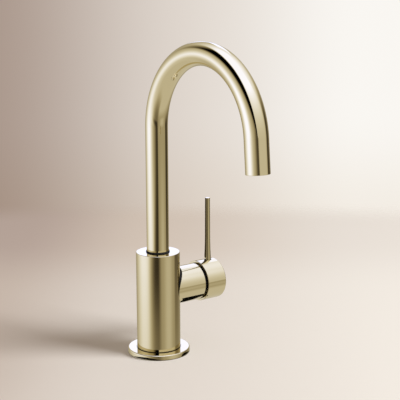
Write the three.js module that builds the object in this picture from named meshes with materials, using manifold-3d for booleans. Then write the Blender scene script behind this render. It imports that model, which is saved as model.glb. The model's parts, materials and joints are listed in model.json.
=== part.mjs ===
// Gooseneck bar faucet with one side lever. Millimetres, +Z up.
// The origin is on the body's axis at deck level, under the base plate.
// The spout reaches towards -Y and the lever's hub looks towards +X.

import * as THREE from 'three';
import { mergeVertices } from 'three/addons/utils/BufferGeometryUtils.js';
import Module from 'manifold-3d';

const wasm = await Module();
wasm.setup();

// ---------------------------------------------------------------- clearances
const seam = 0.3; // between two pieces that rest on each other or run in each other
const boreClearance = 0.3; // around a shaft, a stem or a screw in its hole
const sealGap = 0.15; // around a rubber ring in its groove

// -------------------------------------------------------------- deck fixings
const basePlateRadius = 31.3;
const basePlateHeight = 5.1;
const basePlateBevel = 1.0;
const basePlateRim = 3.3; // ring of the plate that meets the deck outside the gasket
const basePlateCollar = 3.6; // ring of the plate inside the gasket
const gasketThickness = 1.2;
const shankRadius = 16.0;
const shankWall = 3.2;
const shankBelowDeck = 66.0;
const shankFlangeHeight = 4.6;
const shankSpigotHeight = 6.4;
const shankSpigotStep = 1.0; // the upper thread is this much smaller in radius
const deckGap = 30.0; // thickest deck that fits under the base plate
const washerRadius = 27.0;
const rubberWasherThickness = 3.0;
const steelWasherThickness = 2.0;
const nutRadius = 25.0;
const nutHeight = 11.0;
const nutScallops = 9;
const nutScallopDepth = 1.6;
const nutScrewCount = 3;
const nutScrewRadius = 2.5;
const nutScrewLift = 3.0; // gap that the screws bridge between nut and washer
const nutScrewHeadRadius = 3.8;
const nutScrewHeadHeight = 2.6;
const nutScrewSpare = 4.0; // shank of each screw that shows under the nut
const screwSlotWidth = 1.0;

// ---------------------------------------------------------------------- body
const bodyRadius = 22.0;
const bodyWall = 2.5;
const bodyEdge = 0.5;
const valveHeight = 65.2; // height of the lever's valve axis above the deck
const bodyAboveValve = 38.9; // from the valve axis to the top of the body
const bodyTopWall = 4.0;
const bodyTopLip = 1.2;
const housingRadius = 18.7;
const housingWall = 2.2;
const housingReach = 24.3; // how far the side housing stands out of the body
const housingEdge = 0.4;

// --------------------------------------------------------------- water paths
const inletThreadRadius = 4.6;
const inletThreadDepth = 12.0;
const inletRadius = 3.0;
const portAngle = THREE.MathUtils.degToRad(38); // hot and cold ports above the horizontal
const portEdge = 0.9; // from their seals' grooves to the edge of the cartridge
const mixedPortDrop = 6.0; // mixed water port below the valve axis
const portRadius = 2.6;
const mixedRadius = 2.8;
const mixedOffset = 4.5; // the rising bore lies this far from the body's axis

// --------------------------------------------------------------------- spout
const tubeRadius = 11.1;
const tubeWall = 1.2;
const bendRadius = 75.5;
const bendHeight = 229.2; // height of the bend's centre
const bendAngle = THREE.MathUtils.degToRad(175.3);
const outletStraight = 30.9;
const adapterWall = 2.1; // barrel's wall in the bottom of the ring grooves
const adapterSpigot = 11.0; // length that reaches up into the tube
const adapterLand = 1.2;
const adapterDrop = 1.2; // barrel's top under the top of the waterway core
const spoutRingRadius = 0.95;
const spoutRingFloat = 0.55; // spare width of a ring groove
const snapRingThickness = 1.2;
const snapRingFloat = 0.4;
const snapRingBite = 0.9; // depth of its groove in the barrel, and in the core
const snapRingOpening = THREE.MathUtils.degToRad(30);
const glideRingWall = 1.6;

// ----------------------------------------------------------------- cartridge
const portSealRadius = 0.65;
const portSealMargin = 0.8; // from the port's edge to its seal's groove
const portSealSeat = 0.4; // gap between the core's seat and the cartridge base
const cartridgeBaseThickness = 4.6;
const cartridgeClearance = 0.9; // round the cartridge in the housing's bore
const cartridgeWall = 2.2;
const cartridgeEndWall = 1.9;
const discFixedThickness = 3.6;
const discMovingThickness = 3.2;
const discPocketDepth = 1.6;
const discPocketHalfWidth = 7.4;
const discPocketHalfHeight = 5.6;
const discPocketDrop = 2.6;
const carrierThickness = 9.5;
const carrierBackRoom = 1.0; // between the carrier and the stem guide
const guideFlangeThickness = 1.8;
const guideFlangeClearance = 0.9;
const guideRadius = 9.2;
const guideSlotHalfHeight = 6.4;
const guideRingRadius = 0.6;
const neckWall = 1.6;
const bonnetNutLength = 7.5;
const bonnetSlotWidth = 3.0;
const bonnetSlotDepth = 1.5;
const domeWall = 1.2;
const domeOpeningRadius = 9.8;

// -------------------------------------------------------------- stem and hub
const handleTilt = THREE.MathUtils.degToRad(20); // from shut to full flow
const pivotDepth = 3.4; // stem's pivot under the bonnet nut's face
const pinRadius = 1.5;
const pinInset = 1.2; // each end of the pin inside the guide's surface
const ballRadius = 3.0;
const ballInset = 2.2; // ball's centre below the carrier's open end
const stemNeckRadius = 1.9;
const stemRadius = 4.0;
const stemNeckEnd = 5.4; // the stem thickens this far before its pivot
const stemSquare = 5.6;
const stemGrip = 7.0; // length of the square in the hub
const hubStep = 2.0; // the hub is this much larger in radius than the housing
const hubGap = 2.3;
const hubLength = 22.6;
const hubRearBevel = 0.5;
const hubFrontRound = 0.8;
const hubCavityClearance = 0.45; // between its ball-shaped hollow and the housing's edge
const leverInset = 8.5; // lever's axis behind the hub's flat end
const leverTop = 151.1;
const leverTipRadius = 2.55;
const leverWaistRadius = 2.72;
const leverFootRadius = 3.62;
const leverWaistDrop = 40.0; // from the tip down to the waist
const leverTipEdge = 0.3;
const leverSeatDepth = 2.4; // the foot's full width goes this deep into the hub
const leverTenonRadius = 2.4;
const leverTenonLength = 13.0;
const setScrewRadius = 1.75;
const setScrewLength = 7.0;
const setScrewKeyRadius = 1.0;
const setScrewKeyDepth = 2.5;
const plugLength = 3.0;
const plugInset = 0.4;

// ------------------------------------------------------------------- aerator
const insertRecess = 1.0;
const insertWall = 1.0;
const insertLength = 13.0;
const aeratorWall = 1.6;
const aeratorLength = 8.8;
const aeratorNotchWidth = 2.2;
const aeratorNotchDepth = 1.2;
const screenThickness = 0.6;
const screenRecess = 0.8;
const screenHoleRadius = 0.62;
const screenHolePitch = 2.0;
const regulatorThickness = 2.4;
const regulatorHoleRadius = 1.5;
const regulatorRecess = 6.0;
const aeratorGasketThickness = 1.7;

// ------------------------------------------------------------ sides of rounds
const wideSides = 36;
const middleSides = 24;
const narrowSides = 16;
const holeSides = 10;
const sealSectionSides = 6;
const tubeSides = 24;
const bendSteps = 18;

// -------------------------------------------------------------- worked places
const plateBore = shankRadius + boreClearance;
const shankBore = shankRadius - shankWall;
const bodyBottom = basePlateHeight + seam;
const bodyTop = valveHeight + bodyAboveValve;
const bodyBore = bodyRadius - bodyWall;
const housingBore = housingRadius - housingWall;
const housingEnd = bodyRadius + housingReach;

const flangeTop = bodyBottom + shankFlangeHeight;
const spigotTop = flangeTop + shankSpigotHeight;
const coreRadius = bodyBore - seam;
const coreBottom = flangeTop + seam;
const coreTop = bodyTop - bodyTopWall - seam;
const coreCounterbore = spigotTop + seam;

const tubeBore = tubeRadius - tubeWall;
const socketRadius = tubeRadius + boreClearance;
const barrelTop = coreTop - adapterDrop;
const spoutGroove = 2 * spoutRingRadius + spoutRingFloat;
const snapGroove = snapRingThickness + snapRingFloat;
const barrelLength = 4 * adapterLand + 2 * spoutGroove + snapGroove;
const barrelBottom = barrelTop - barrelLength;
const lowerGrooveFrom = barrelBottom + adapterLand;
const upperGrooveFrom = lowerGrooveFrom + spoutGroove + adapterLand;
const snapGrooveFrom = upperGrooveFrom + spoutGroove + adapterLand;
const spoutGrooveFloor = socketRadius - 2 * spoutRingRadius - 2 * sealGap;
const socketBottom = barrelBottom - seam;
const tubeBottom = barrelTop + seam;

// Along the valve axis, measured outwards from the body's axis.
const bonnetTop = housingEnd - seam;
const bonnetBottom = bonnetTop - bonnetNutLength;
const barrelShoulder = bonnetBottom - seam;
const guideSeat = barrelShoulder - cartridgeEndWall;
const guideFlangeTop = guideSeat - seam;
const guideFlangeBottom = guideFlangeTop - guideFlangeThickness;
const carrierTop = guideFlangeBottom - carrierBackRoom;
const carrierBottom = carrierTop - carrierThickness;
const discMovingTop = carrierBottom - seam;
const discMovingBottom = discMovingTop - discMovingThickness;
const discFixedTop = discMovingBottom - seam;
const discFixedBottom = discFixedTop - discFixedThickness;
const cartridgeBaseTop = discFixedBottom - seam;
const cartridgeBaseBottom = cartridgeBaseTop - cartridgeBaseThickness;
const valveSeat = cartridgeBaseBottom - portSealSeat;
const cartridgeRadius = housingBore - cartridgeClearance;
const cartridgeBore = cartridgeRadius - cartridgeWall;
const neckBore = guideRadius + boreClearance;
const neckRadius = neckBore + neckWall;
const pivot = bonnetTop - pivotDepth;
const ballCentre = carrierTop - ballInset;
const discTravel = (pivot - ballCentre) * Math.sin(handleTilt);
const discMovingRadius = cartridgeBore - discTravel - boreClearance;
const guideFlangeRadius = cartridgeBore - guideFlangeClearance;
const portSealWidth = 2 * portSealRadius + 2 * sealGap;
const portCircle = cartridgeRadius - portEdge - portSealWidth - portSealMargin - portRadius;
const inletSpread = portCircle * Math.cos(portAngle);
const inletPortRise = portCircle * Math.sin(portAngle);

const domeRadius = Math.hypot(housingBore - seam, housingEnd - pivot);
const domeOpeningAngle = Math.asin(domeOpeningRadius / domeRadius);
const domeSweep = domeRadius * Math.cos(domeOpeningAngle - handleTilt);
const hubRadius = housingRadius + hubStep;
const hubCavityRadius = Math.hypot(housingRadius, housingEnd - pivot) + hubCavityClearance;
const hubRear = housingEnd + hubGap;
const hubEnd = hubRear + hubLength;
const hubCavityEnd = pivot + domeSweep + 1.5 * seam;
const stemEnd = hubCavityEnd + stemGrip;
const leverAxis = hubEnd - leverInset;
const leverSeat = hubRadius - leverSeatDepth;
const leverTenonEnd = leverSeat - leverTenonLength;

// ------------------------------------------------------------------ materials
function material(color, roughness, metalness) {
  return new THREE.MeshStandardMaterial({ color, roughness, metalness });
}

const paleGold = material(0xc9b48a, 0.24, 1.0);
const castBrass = material(0xb08d4f, 0.45, 1.0);
const steel = material(0xb9bcc0, 0.35, 1.0);
const blackRubber = material(0x1c1c1c, 0.8, 0.0);
const whitePlastic = material(0xe6e4dc, 0.5, 0.0);
const greyPlastic = material(0x7d8187, 0.5, 0.0);
const paleCeramic = material(0xf1eee6, 0.25, 0.0);

// --------------------------------------------------------------- shape helpers

// A ring or disc turned about +Z from [radius, height] points. The points run up the outside,
// and either start and end on the axis or close on themselves.
function turned(profile, sides) {
  const points = profile.map(([radius, height]) => new THREE.Vector2(radius, height));
  if (profile[0][0] > 0) {
    points.push(points[0].clone());
  }
  return new THREE.LatheGeometry(points, sides).rotateX(Math.PI / 2);
}

function rod(radius, from, to, sides) {
  return turned([[0, from], [radius, from], [radius, to], [0, to]], sides);
}

function ring(inner, outer, from, to, sides) {
  return turned([[inner, from], [outer, from], [outer, to], [inner, to]], sides);
}

function roundSeal(centreRadius, sectionRadius, height, sides) {
  const seal = new THREE.TorusGeometry(centreRadius, sectionRadius, sealSectionSides, sides);
  return seal.translate(0, 0, height);
}

// Points of an arc in a profile, from one angle to another, measured from the profile's axis of height.
function profileArc(centreRadius, centreHeight, arcRadius, from, to, steps) {
  const points = [];
  for (let step = 0; step <= steps; step += 1) {
    const angle = THREE.MathUtils.lerp(from, to, step / steps);
    points.push([
      centreRadius + arcRadius * Math.sin(angle),
      centreHeight + arcRadius * Math.cos(angle),
    ]);
  }
  return points;
}

function circlePoints(radius, sides, from = 0, sweep = 2 * Math.PI) {
  const closed = sweep === 2 * Math.PI;
  const spans = closed ? sides : sides - 1;
  return Array.from({ length: sides }, (_, index) => {
    const angle = from + (sweep * index) / spans;
    return new THREE.Vector2(radius * Math.cos(angle), radius * Math.sin(angle));
  });
}

function plate(shape, from, to) {
  const options = { depth: to - from, bevelEnabled: false };
  return new THREE.ExtrudeGeometry(shape, options).translate(0, 0, from);
}

function block(width, depth, from, to) {
  return new THREE.BoxGeometry(width, depth, to - from).translate(0, 0, (from + to) / 2);
}

// A surface whose neighbouring triangles share their corners, without the flat triangles
// that a turned shape has on its axis.
function sharedCorners(geometry) {
  const bare = geometry.clone();
  bare.deleteAttribute('normal');
  bare.deleteAttribute('uv');
  const merged = mergeVertices(bare, 1e-4);
  const corners = merged.index.array;
  const kept = [];
  for (let first = 0; first < corners.length; first += 3) {
    const [a, b, c] = corners.slice(first, first + 3);
    if (a !== b && b !== c && c !== a) {
      kept.push(a, b, c);
    }
  }
  merged.setIndex(kept);
  return merged;
}

function toSolid(geometry) {
  const surface = sharedCorners(geometry);
  return new wasm.Manifold(new wasm.Mesh({
    numProp: 3,
    vertProperties: Float32Array.from(surface.attributes.position.array),
    triVerts: Uint32Array.from(surface.index.array),
  }));
}

function toGeometry(solid) {
  const mesh = solid.getMesh();
  const geometry = new THREE.BufferGeometry();
  geometry.setAttribute('position', new THREE.BufferAttribute(mesh.vertProperties, 3));
  geometry.setIndex(new THREE.BufferAttribute(mesh.triVerts, 1));
  geometry.computeVertexNormals();
  return geometry;
}

function joined(first, ...others) {
  return toGeometry(others.reduce((whole, piece) => whole.add(toSolid(piece)), toSolid(first)));
}

function cut(base, ...tools) {
  return toGeometry(tools.reduce((whole, tool) => whole.subtract(toSolid(tool)), toSolid(base)));
}

function part(name, geometry, itsMaterial) {
  const mesh = new THREE.Mesh(geometry, itsMaterial);
  mesh.name = name;
  return mesh;
}

// Turns a shape that stands along +Z so that it lies along +X at the height of the valve.
function onValveAxis(geometry) {
  return geometry.rotateY(Math.PI / 2).translate(0, 0, valveHeight);
}

// Lays a shape that stands along +Z along +Y.
function alongY(geometry) {
  return geometry.rotateX(-Math.PI / 2);
}

// ---------------------------------------------------------------- deck fixings
function basePlate() {
  const gasketInner = plateBore + basePlateCollar;
  const gasketOuter = basePlateRadius - basePlateRim;
  const recess = gasketThickness + seam;
  const profile = [
    [plateBore, 0],
    [gasketInner, 0],
    [gasketInner, recess],
    [gasketOuter, recess],
    [gasketOuter, 0],
    [basePlateRadius, 0],
    [basePlateRadius, basePlateHeight - basePlateBevel],
    [basePlateRadius - basePlateBevel, basePlateHeight],
    [plateBore, basePlateHeight],
  ];
  return part('base_plate', turned(profile, wideSides), paleGold);
}

function baseGasket() {
  const inner = plateBore + basePlateCollar + seam;
  const outer = basePlateRadius - basePlateRim - seam;
  return part('base_gasket', ring(inner, outer, 0, gasketThickness, middleSides), blackRubber);
}

function mountingShank() {
  const spigotRadius = shankRadius - shankSpigotStep;
  const profile = [
    [shankBore, -shankBelowDeck],
    [shankRadius, -shankBelowDeck],
    [shankRadius, bodyBottom],
    [coreRadius, bodyBottom],
    [coreRadius, flangeTop],
    [spigotRadius, flangeTop],
    [spigotRadius, spigotTop],
    [shankBore, spigotTop],
  ];
  return part('mounting_shank', turned(profile, middleSides), castBrass);
}

// The washers, the nut and its screws stand in one stack under the deck.
function deckClamp() {
  const bore = shankRadius + boreClearance;
  const rubberTop = -deckGap;
  const rubberBottom = rubberTop - rubberWasherThickness;
  const steelTop = rubberBottom - seam;
  const steelBottom = steelTop - steelWasherThickness;
  const nutTop = steelBottom - nutScrewLift;
  const nutBottom = nutTop - nutHeight;
  const rubberRing = ring(bore, washerRadius, rubberBottom, rubberTop, middleSides);
  const steelRing = ring(bore, washerRadius, steelBottom, steelTop, middleSides);
  return [
    part('deck_rubber_washer', rubberRing, blackRubber),
    part('deck_steel_washer', steelRing, steel),
    mountingNut(bore, nutBottom, nutTop),
    ...nutScrews(bore, nutBottom, steelBottom - seam),
  ];
}

function nutScrewPlaces(bore) {
  const circle = (bore + nutRadius - nutScallopDepth) / 2;
  return Array.from({ length: nutScrewCount }, (_, index) => {
    const angle = (2 * Math.PI * index) / nutScrewCount;
    return [circle * Math.cos(angle), circle * Math.sin(angle)];
  });
}

function mountingNut(bore, from, to) {
  const outline = circlePoints(nutRadius, 8 * nutScallops).map((point) => {
    const wave = 0.5 - 0.5 * Math.cos(nutScallops * point.angle());
    return point.setLength(nutRadius - nutScallopDepth * wave);
  });
  const shape = new THREE.Shape(outline);
  shape.holes.push(new THREE.Path(circlePoints(bore, middleSides)));
  for (const [x, y] of nutScrewPlaces(bore)) {
    const hole = circlePoints(nutScrewRadius + boreClearance, holeSides);
    shape.holes.push(new THREE.Path(hole.map((point) => point.add(new THREE.Vector2(x, y)))));
  }
  return part('mounting_nut', plate(shape, from, to), castBrass);
}

function nutScrews(bore, nutBottom, tip) {
  const headTop = nutBottom - nutScrewSpare;
  const headBottom = headTop - nutScrewHeadHeight;
  const profile = [
    [0, headBottom],
    [nutScrewHeadRadius, headBottom],
    [nutScrewHeadRadius, headTop],
    [nutScrewRadius, headTop],
    [nutScrewRadius, tip - 0.5],
    [nutScrewRadius - 0.5, tip],
    [0, tip],
  ];
  const slotTop = headBottom + nutScrewHeadHeight / 2;
  const slot = block(3 * nutScrewHeadRadius, screwSlotWidth, headBottom - 1, slotTop);
  return nutScrewPlaces(bore).map(([x, y], index) => {
    const screw = part(`nut_screw_${index + 1}`, cut(turned(profile, holeSides), slot), steel);
    screw.position.set(x, y, 0);
    return screw;
  });
}

// ------------------------------------------------------------------------ body
function bodyShell() {
  const outside = turned([
    [0, bodyBottom],
    [bodyRadius, bodyBottom],
    [bodyRadius, bodyTop - bodyEdge],
    [bodyRadius - bodyEdge, bodyTop],
    [0, bodyTop],
  ], wideSides);
  const housing = onValveAxis(turned([
    [0, 0],
    [housingRadius, 0],
    [housingRadius, housingEnd - housingEdge],
    [housingRadius - housingEdge, housingEnd],
    [0, housingEnd],
  ], wideSides));
  const glideRecess = socketRadius + glideRingWall + seam;
  const inside = turned([
    [0, bodyBottom - 1],
    [bodyBore, bodyBottom - 1],
    [bodyBore, bodyTop - bodyTopWall],
    [glideRecess, bodyTop - bodyTopWall],
    [glideRecess, bodyTop - bodyTopLip],
    [socketRadius, bodyTop - bodyTopLip],
    [socketRadius, bodyTop + 1],
    [0, bodyTop + 1],
  ], wideSides);
  const valveBore = onValveAxis(rod(housingBore, 0, housingEnd + 1, wideSides));
  return part('body_shell', cut(joined(outside, housing), inside, valveBore), paleGold);
}

function spoutGlideRing() {
  const from = bodyTop - bodyTopWall;
  const to = bodyTop - bodyTopLip - seam;
  const outer = socketRadius + glideRingWall;
  return part('spout_glide_ring', ring(socketRadius, outer, from, to, middleSides), whitePlastic);
}

// The three ports of the valve, as [name, sideways, up] from the valve axis.
const ports = [
  ['hot', inletSpread, inletPortRise, portRadius],
  ['cold', -inletSpread, inletPortRise, portRadius],
  ['mixed', 0, -mixedPortDrop, mixedRadius],
];

function waterwayCore() {
  const snapRadius = socketRadius + snapRingBite;
  const snapTop = snapGrooveFrom + snapGroove;
  const blank = turned([
    [0, coreCounterbore],
    [shankRadius - shankSpigotStep + boreClearance, coreCounterbore],
    [shankRadius - shankSpigotStep + boreClearance, coreBottom],
    [coreRadius, coreBottom],
    [coreRadius, coreTop],
    [socketRadius, coreTop],
    [socketRadius, snapTop],
    [snapRadius, snapTop],
    [snapRadius, snapGrooveFrom],
    [socketRadius, snapGrooveFrom],
    [socketRadius, socketBottom],
    [0, socketBottom],
  ], middleSides);
  const pocketRadius = cartridgeRadius + boreClearance;
  const tools = [onValveAxis(rod(pocketRadius, valveSeat, housingEnd, middleSides))];
  const inletTop = valveHeight + inletPortRise + inletRadius;
  const threadTop = coreCounterbore + inletThreadDepth;
  for (const side of [-inletSpread, inletSpread]) {
    const rise = rod(inletRadius, coreBottom, inletTop, holeSides);
    const thread = rod(inletThreadRadius, coreBottom, threadTop, holeSides);
    const port = onValveAxis(rod(portRadius, 0, valveSeat + 1, holeSides));
    tools.push(rise.translate(0, side, 0));
    tools.push(thread.translate(0, side, 0));
    tools.push(port.translate(0, side, inletPortRise));
  }
  const mixedFrom = valveHeight - mixedPortDrop;
  const mixedPort = onValveAxis(rod(mixedRadius, mixedOffset, valveSeat + 1, holeSides));
  const mixedRise = rod(mixedRadius, mixedFrom - mixedRadius, socketBottom + 1, holeSides);
  tools.push(mixedPort.translate(0, 0, -mixedPortDrop));
  tools.push(mixedRise.translate(mixedOffset, 0, 0));
  return part('waterway_core', cut(blank, ...tools), castBrass);
}

// ----------------------------------------------------------------------- spout

// The tube's middle line. Its stations are one span up the riser, the spans of the bend,
// and one span down the outlet, so that straight runs hold no needless rings.
class SpoutLine extends THREE.Curve {
  getPointAt(u, target = new THREE.Vector3()) {
    const station = u * (bendSteps + 2);
    if (station <= 1) {
      return target.set(0, 0, THREE.MathUtils.lerp(tubeBottom, bendHeight, station));
    }
    const turn = bendAngle * Math.min((station - 1) / bendSteps, 1);
    const run = outletStraight * Math.max(station - 1 - bendSteps, 0);
    return target.set(
      0,
      -bendRadius + bendRadius * Math.cos(turn) - run * Math.sin(turn),
      bendHeight + bendRadius * Math.sin(turn) + run * Math.cos(turn),
    );
  }

  getTangentAt(u, target = new THREE.Vector3()) {
    const station = u * (bendSteps + 2);
    const turn = bendAngle * THREE.MathUtils.clamp((station - 1) / bendSteps, 0, 1);
    return target.set(0, -Math.sin(turn), Math.cos(turn));
  }
}

const spoutLine = new SpoutLine();

function spoutTube() {
  const section = new THREE.Shape(circlePoints(tubeRadius, tubeSides));
  section.holes.push(new THREE.Path(circlePoints(tubeBore, tubeSides)));
  const options = { extrudePath: spoutLine, steps: bendSteps + 2, bevelEnabled: false };
  return part('spout_tube', new THREE.ExtrudeGeometry(section, options), paleGold);
}

function spoutAdapter() {
  const bore = spoutGrooveFloor - adapterWall;
  const spigotRadius = tubeBore - seam;
  const snapFloor = tubeRadius - snapRingBite;
  const profile = [
    [bore, barrelBottom],
    [tubeRadius, barrelBottom],
    [tubeRadius, lowerGrooveFrom],
    [spoutGrooveFloor, lowerGrooveFrom],
    [spoutGrooveFloor, lowerGrooveFrom + spoutGroove],
    [tubeRadius, lowerGrooveFrom + spoutGroove],
    [tubeRadius, upperGrooveFrom],
    [spoutGrooveFloor, upperGrooveFrom],
    [spoutGrooveFloor, upperGrooveFrom + spoutGroove],
    [tubeRadius, upperGrooveFrom + spoutGroove],
    [tubeRadius, snapGrooveFrom],
    [snapFloor, snapGrooveFrom],
    [snapFloor, snapGrooveFrom + snapGroove],
    [tubeRadius, snapGrooveFrom + snapGroove],
    [tubeRadius, barrelTop],
    [spigotRadius, barrelTop],
    [spigotRadius, barrelTop + adapterSpigot],
    [bore, barrelTop + adapterSpigot],
  ];
  return part('spout_adapter', turned(profile, middleSides), castBrass);
}

function spoutSeals() {
  const centreRadius = spoutGrooveFloor + sealGap + spoutRingRadius;
  const grooves = [['lower', lowerGrooveFrom], ['upper', upperGrooveFrom]];
  return grooves.map(([place, from]) => {
    const height = from + spoutGroove / 2;
    const seal = roundSeal(centreRadius, spoutRingRadius, height, middleSides);
    return part(`spout_o_ring_${place}`, seal, blackRubber);
  });
}

// A split spring ring that stands half in the barrel's groove and half in the core's.
function spoutSnapRing() {
  const inner = tubeRadius - snapRingBite + seam;
  const outer = socketRadius + snapRingBite - seam;
  const sweep = 2 * Math.PI - snapRingOpening;
  const outward = circlePoints(outer, middleSides, snapRingOpening / 2, sweep);
  const back = circlePoints(inner, middleSides, snapRingOpening / 2, sweep).reverse();
  const from = snapGrooveFrom + snapRingFloat / 2;
  const geometry = plate(new THREE.Shape([...outward, ...back]), from, from + snapRingThickness);
  return part('spout_snap_ring', geometry, steel);
}

// The outlet's pieces stand on the tube's cut end, with +Z pointing up into the tube.
function outletGroup() {
  const group = new THREE.Group();
  group.position.copy(spoutLine.getPointAt(1));
  group.rotation.x = bendAngle - Math.PI;
  const insertOuter = tubeBore - seam;
  const insertInner = insertOuter - insertWall;
  const insertEnd = insertRecess + insertLength;
  const aeratorOuter = insertInner - seam;
  const aeratorInner = aeratorOuter - aeratorWall;
  const aeratorTop = insertRecess + aeratorLength;
  const discRadius = aeratorInner - seam;
  const insert = ring(insertInner, insertOuter, insertRecess, insertEnd, middleSides);
  const gasketFrom = aeratorTop + seam;
  const gasketTo = gasketFrom + aeratorGasketThickness;
  const gasket = ring(aeratorInner, aeratorOuter, gasketFrom, gasketTo, narrowSides);
  const regulatorFrom = insertRecess + regulatorRecess;
  const regulatorTo = regulatorFrom + regulatorThickness;
  const regulator = ring(regulatorHoleRadius, discRadius, regulatorFrom, regulatorTo, narrowSides);
  group.add(
    part('outlet_insert', insert, castBrass),
    aeratorBody(aeratorInner, aeratorOuter, aeratorTop),
    aeratorScreen(discRadius),
    part('flow_regulator', regulator, greyPlastic),
    part('aerator_gasket', gasket, blackRubber),
  );
  return group;
}

function aeratorBody(inner, outer, top) {
  const wall = ring(inner, outer, insertRecess, top, middleSides);
  const notchTop = insertRecess + aeratorNotchDepth;
  const across = block(3 * outer, aeratorNotchWidth, insertRecess - 1, notchTop);
  const along = block(aeratorNotchWidth, 3 * outer, insertRecess - 1, notchTop);
  return part('aerator_body', cut(wall, across, along), whitePlastic);
}

// Holes on a triangular grid, kept where they fit inside the screen's rim.
function aeratorScreen(radius) {
  const shape = new THREE.Shape(circlePoints(radius, narrowSides));
  const rows = Math.ceil(radius / screenHolePitch) + 1;
  for (let row = -rows; row <= rows; row += 1) {
    for (let column = -rows; column <= rows; column += 1) {
      const x = screenHolePitch * (column + row / 2);
      const y = (screenHolePitch * row * Math.sqrt(3)) / 2;
      if (Math.hypot(x, y) + 2 * screenHoleRadius < radius) {
        const hole = circlePoints(screenHoleRadius, 6);
        const moved = hole.map((point) => point.add(new THREE.Vector2(x, y)));
        shape.holes.push(new THREE.Path(moved));
      }
    }
  }
  const from = insertRecess + aeratorNotchDepth + screenRecess;
  return part('aerator_screen', plate(shape, from, from + screenThickness), steel);
}

// ------------------------------------------------------------------- cartridge
// In the valve's group +Z points outwards along the valve axis and -X points up.

function portHole(port, from, to) {
  const [, sideways, up, radius] = port;
  return rod(radius, from, to, holeSides).translate(-up, sideways, 0);
}

function cartridgeBase() {
  const tools = ports.map((port) => portHole(port, cartridgeBaseBottom - 1, cartridgeBaseTop + 1));
  for (const [, sideways, up, radius] of ports) {
    const inner = radius + portSealMargin;
    const outer = inner + portSealWidth;
    const grooveTop = cartridgeBaseBottom + 2 * portSealRadius;
    const groove = ring(inner, outer, cartridgeBaseBottom - 1, grooveTop, narrowSides);
    tools.push(groove.translate(-up, sideways, 0));
  }
  const disc = rod(cartridgeRadius, cartridgeBaseBottom, cartridgeBaseTop, middleSides);
  return part('cartridge_base', cut(disc, ...tools), whitePlastic);
}

function portSeals() {
  return ports.map(([name, sideways, up, radius]) => {
    const centreRadius = radius + portSealMargin + sealGap + portSealRadius;
    const height = cartridgeBaseBottom + portSealRadius - sealGap;
    const seal = roundSeal(centreRadius, portSealRadius, height, narrowSides);
    return part(`port_seal_${name}`, seal.translate(-up, sideways, 0), blackRubber);
  });
}

function cartridgeBarrel() {
  const profile = [
    [cartridgeBore, discFixedBottom],
    [cartridgeRadius, discFixedBottom],
    [cartridgeRadius, barrelShoulder],
    [neckRadius, barrelShoulder],
    [neckRadius, bonnetTop],
    [neckBore, bonnetTop],
    [neckBore, guideSeat],
    [cartridgeBore, guideSeat],
  ];
  return part('cartridge_barrel', turned(profile, middleSides), greyPlastic);
}

function fixedDisc() {
  const tools = ports.map((port) => portHole(port, discFixedBottom - 1, discFixedTop + 1));
  const disc = rod(cartridgeBore - seam, discFixedBottom, discFixedTop, middleSides);
  return part('ceramic_disc_fixed', cut(disc, ...tools), paleCeramic);
}

function bonnetNut() {
  const wall = ring(neckRadius + seam, housingBore - seam, bonnetBottom, bonnetTop, middleSides);
  const slotFrom = bonnetTop - bonnetSlotDepth;
  const across = block(3 * housingRadius, bonnetSlotWidth, slotFrom, bonnetTop + 1);
  const along = block(bonnetSlotWidth, 3 * housingRadius, slotFrom, bonnetTop + 1);
  return part('bonnet_nut', cut(wall, across, along), castBrass);
}

// A thin ball-shaped cover round the stem's pivot, open in front for the stem.
function domeCap() {
  const inner = domeRadius - domeWall;
  const rear = housingEnd - pivot;
  const outside = profileArc(0, pivot, domeRadius, Math.acos(rear / domeRadius), domeOpeningAngle, 5);
  const innerOpening = Math.asin(domeOpeningRadius / inner);
  const inside = profileArc(0, pivot, inner, innerOpening, Math.acos(rear / inner), 5);
  return part('dome_cap', turned([...outside, ...inside], middleSides), steel);
}

// ----------------------------------------------------- pieces the lever moves
function stemGuide() {
  const ringFloor = neckBore - 2 * guideRingRadius - 2 * sealGap;
  const ringFrom = bonnetBottom - seam;
  const ringTo = ringFrom + 2 * guideRingRadius + 2 * sealGap;
  const blank = turned([
    [0, guideFlangeBottom],
    [guideFlangeRadius, guideFlangeBottom],
    [guideFlangeRadius, guideFlangeTop],
    [guideRadius, guideFlangeTop],
    [guideRadius, ringFrom],
    [ringFloor, ringFrom],
    [ringFloor, ringTo],
    [guideRadius, ringTo],
    [guideRadius, bonnetTop],
    [0, bonnetTop],
  ], middleSides);
  const slotWidth = 2 * (stemRadius + boreClearance);
  const slot = block(2 * guideSlotHalfHeight, slotWidth, guideFlangeBottom - 1, bonnetTop + 1);
  const pinHole = alongY(rod(pinRadius + boreClearance, -guideRadius - 1, guideRadius + 1, holeSides));
  return part('stem_guide', cut(blank, slot, pinHole.translate(0, 0, pivot)), whitePlastic);
}

function guideSeal() {
  const height = bonnetBottom - seam + guideRingRadius + sealGap;
  const centreRadius = guideRadius + boreClearance - guideRingRadius - sealGap;
  const seal = roundSeal(centreRadius, guideRingRadius, height, middleSides);
  return part('guide_o_ring', seal, blackRubber);
}

function stemPin() {
  const reach = guideRadius - pinInset;
  const pin = alongY(rod(pinRadius, -reach, reach, holeSides)).translate(0, 0, pivot);
  return part('stem_pin', pin, steel);
}

function discCarrier() {
  const blank = rod(discMovingRadius, carrierBottom, carrierTop, middleSides);
  const socketFloor = ballCentre - ballRadius - 2 * seam;
  const socket = rod(ballRadius + boreClearance, socketFloor, carrierTop + 1, narrowSides);
  return part('disc_carrier', cut(blank, socket), greyPlastic);
}

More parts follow.
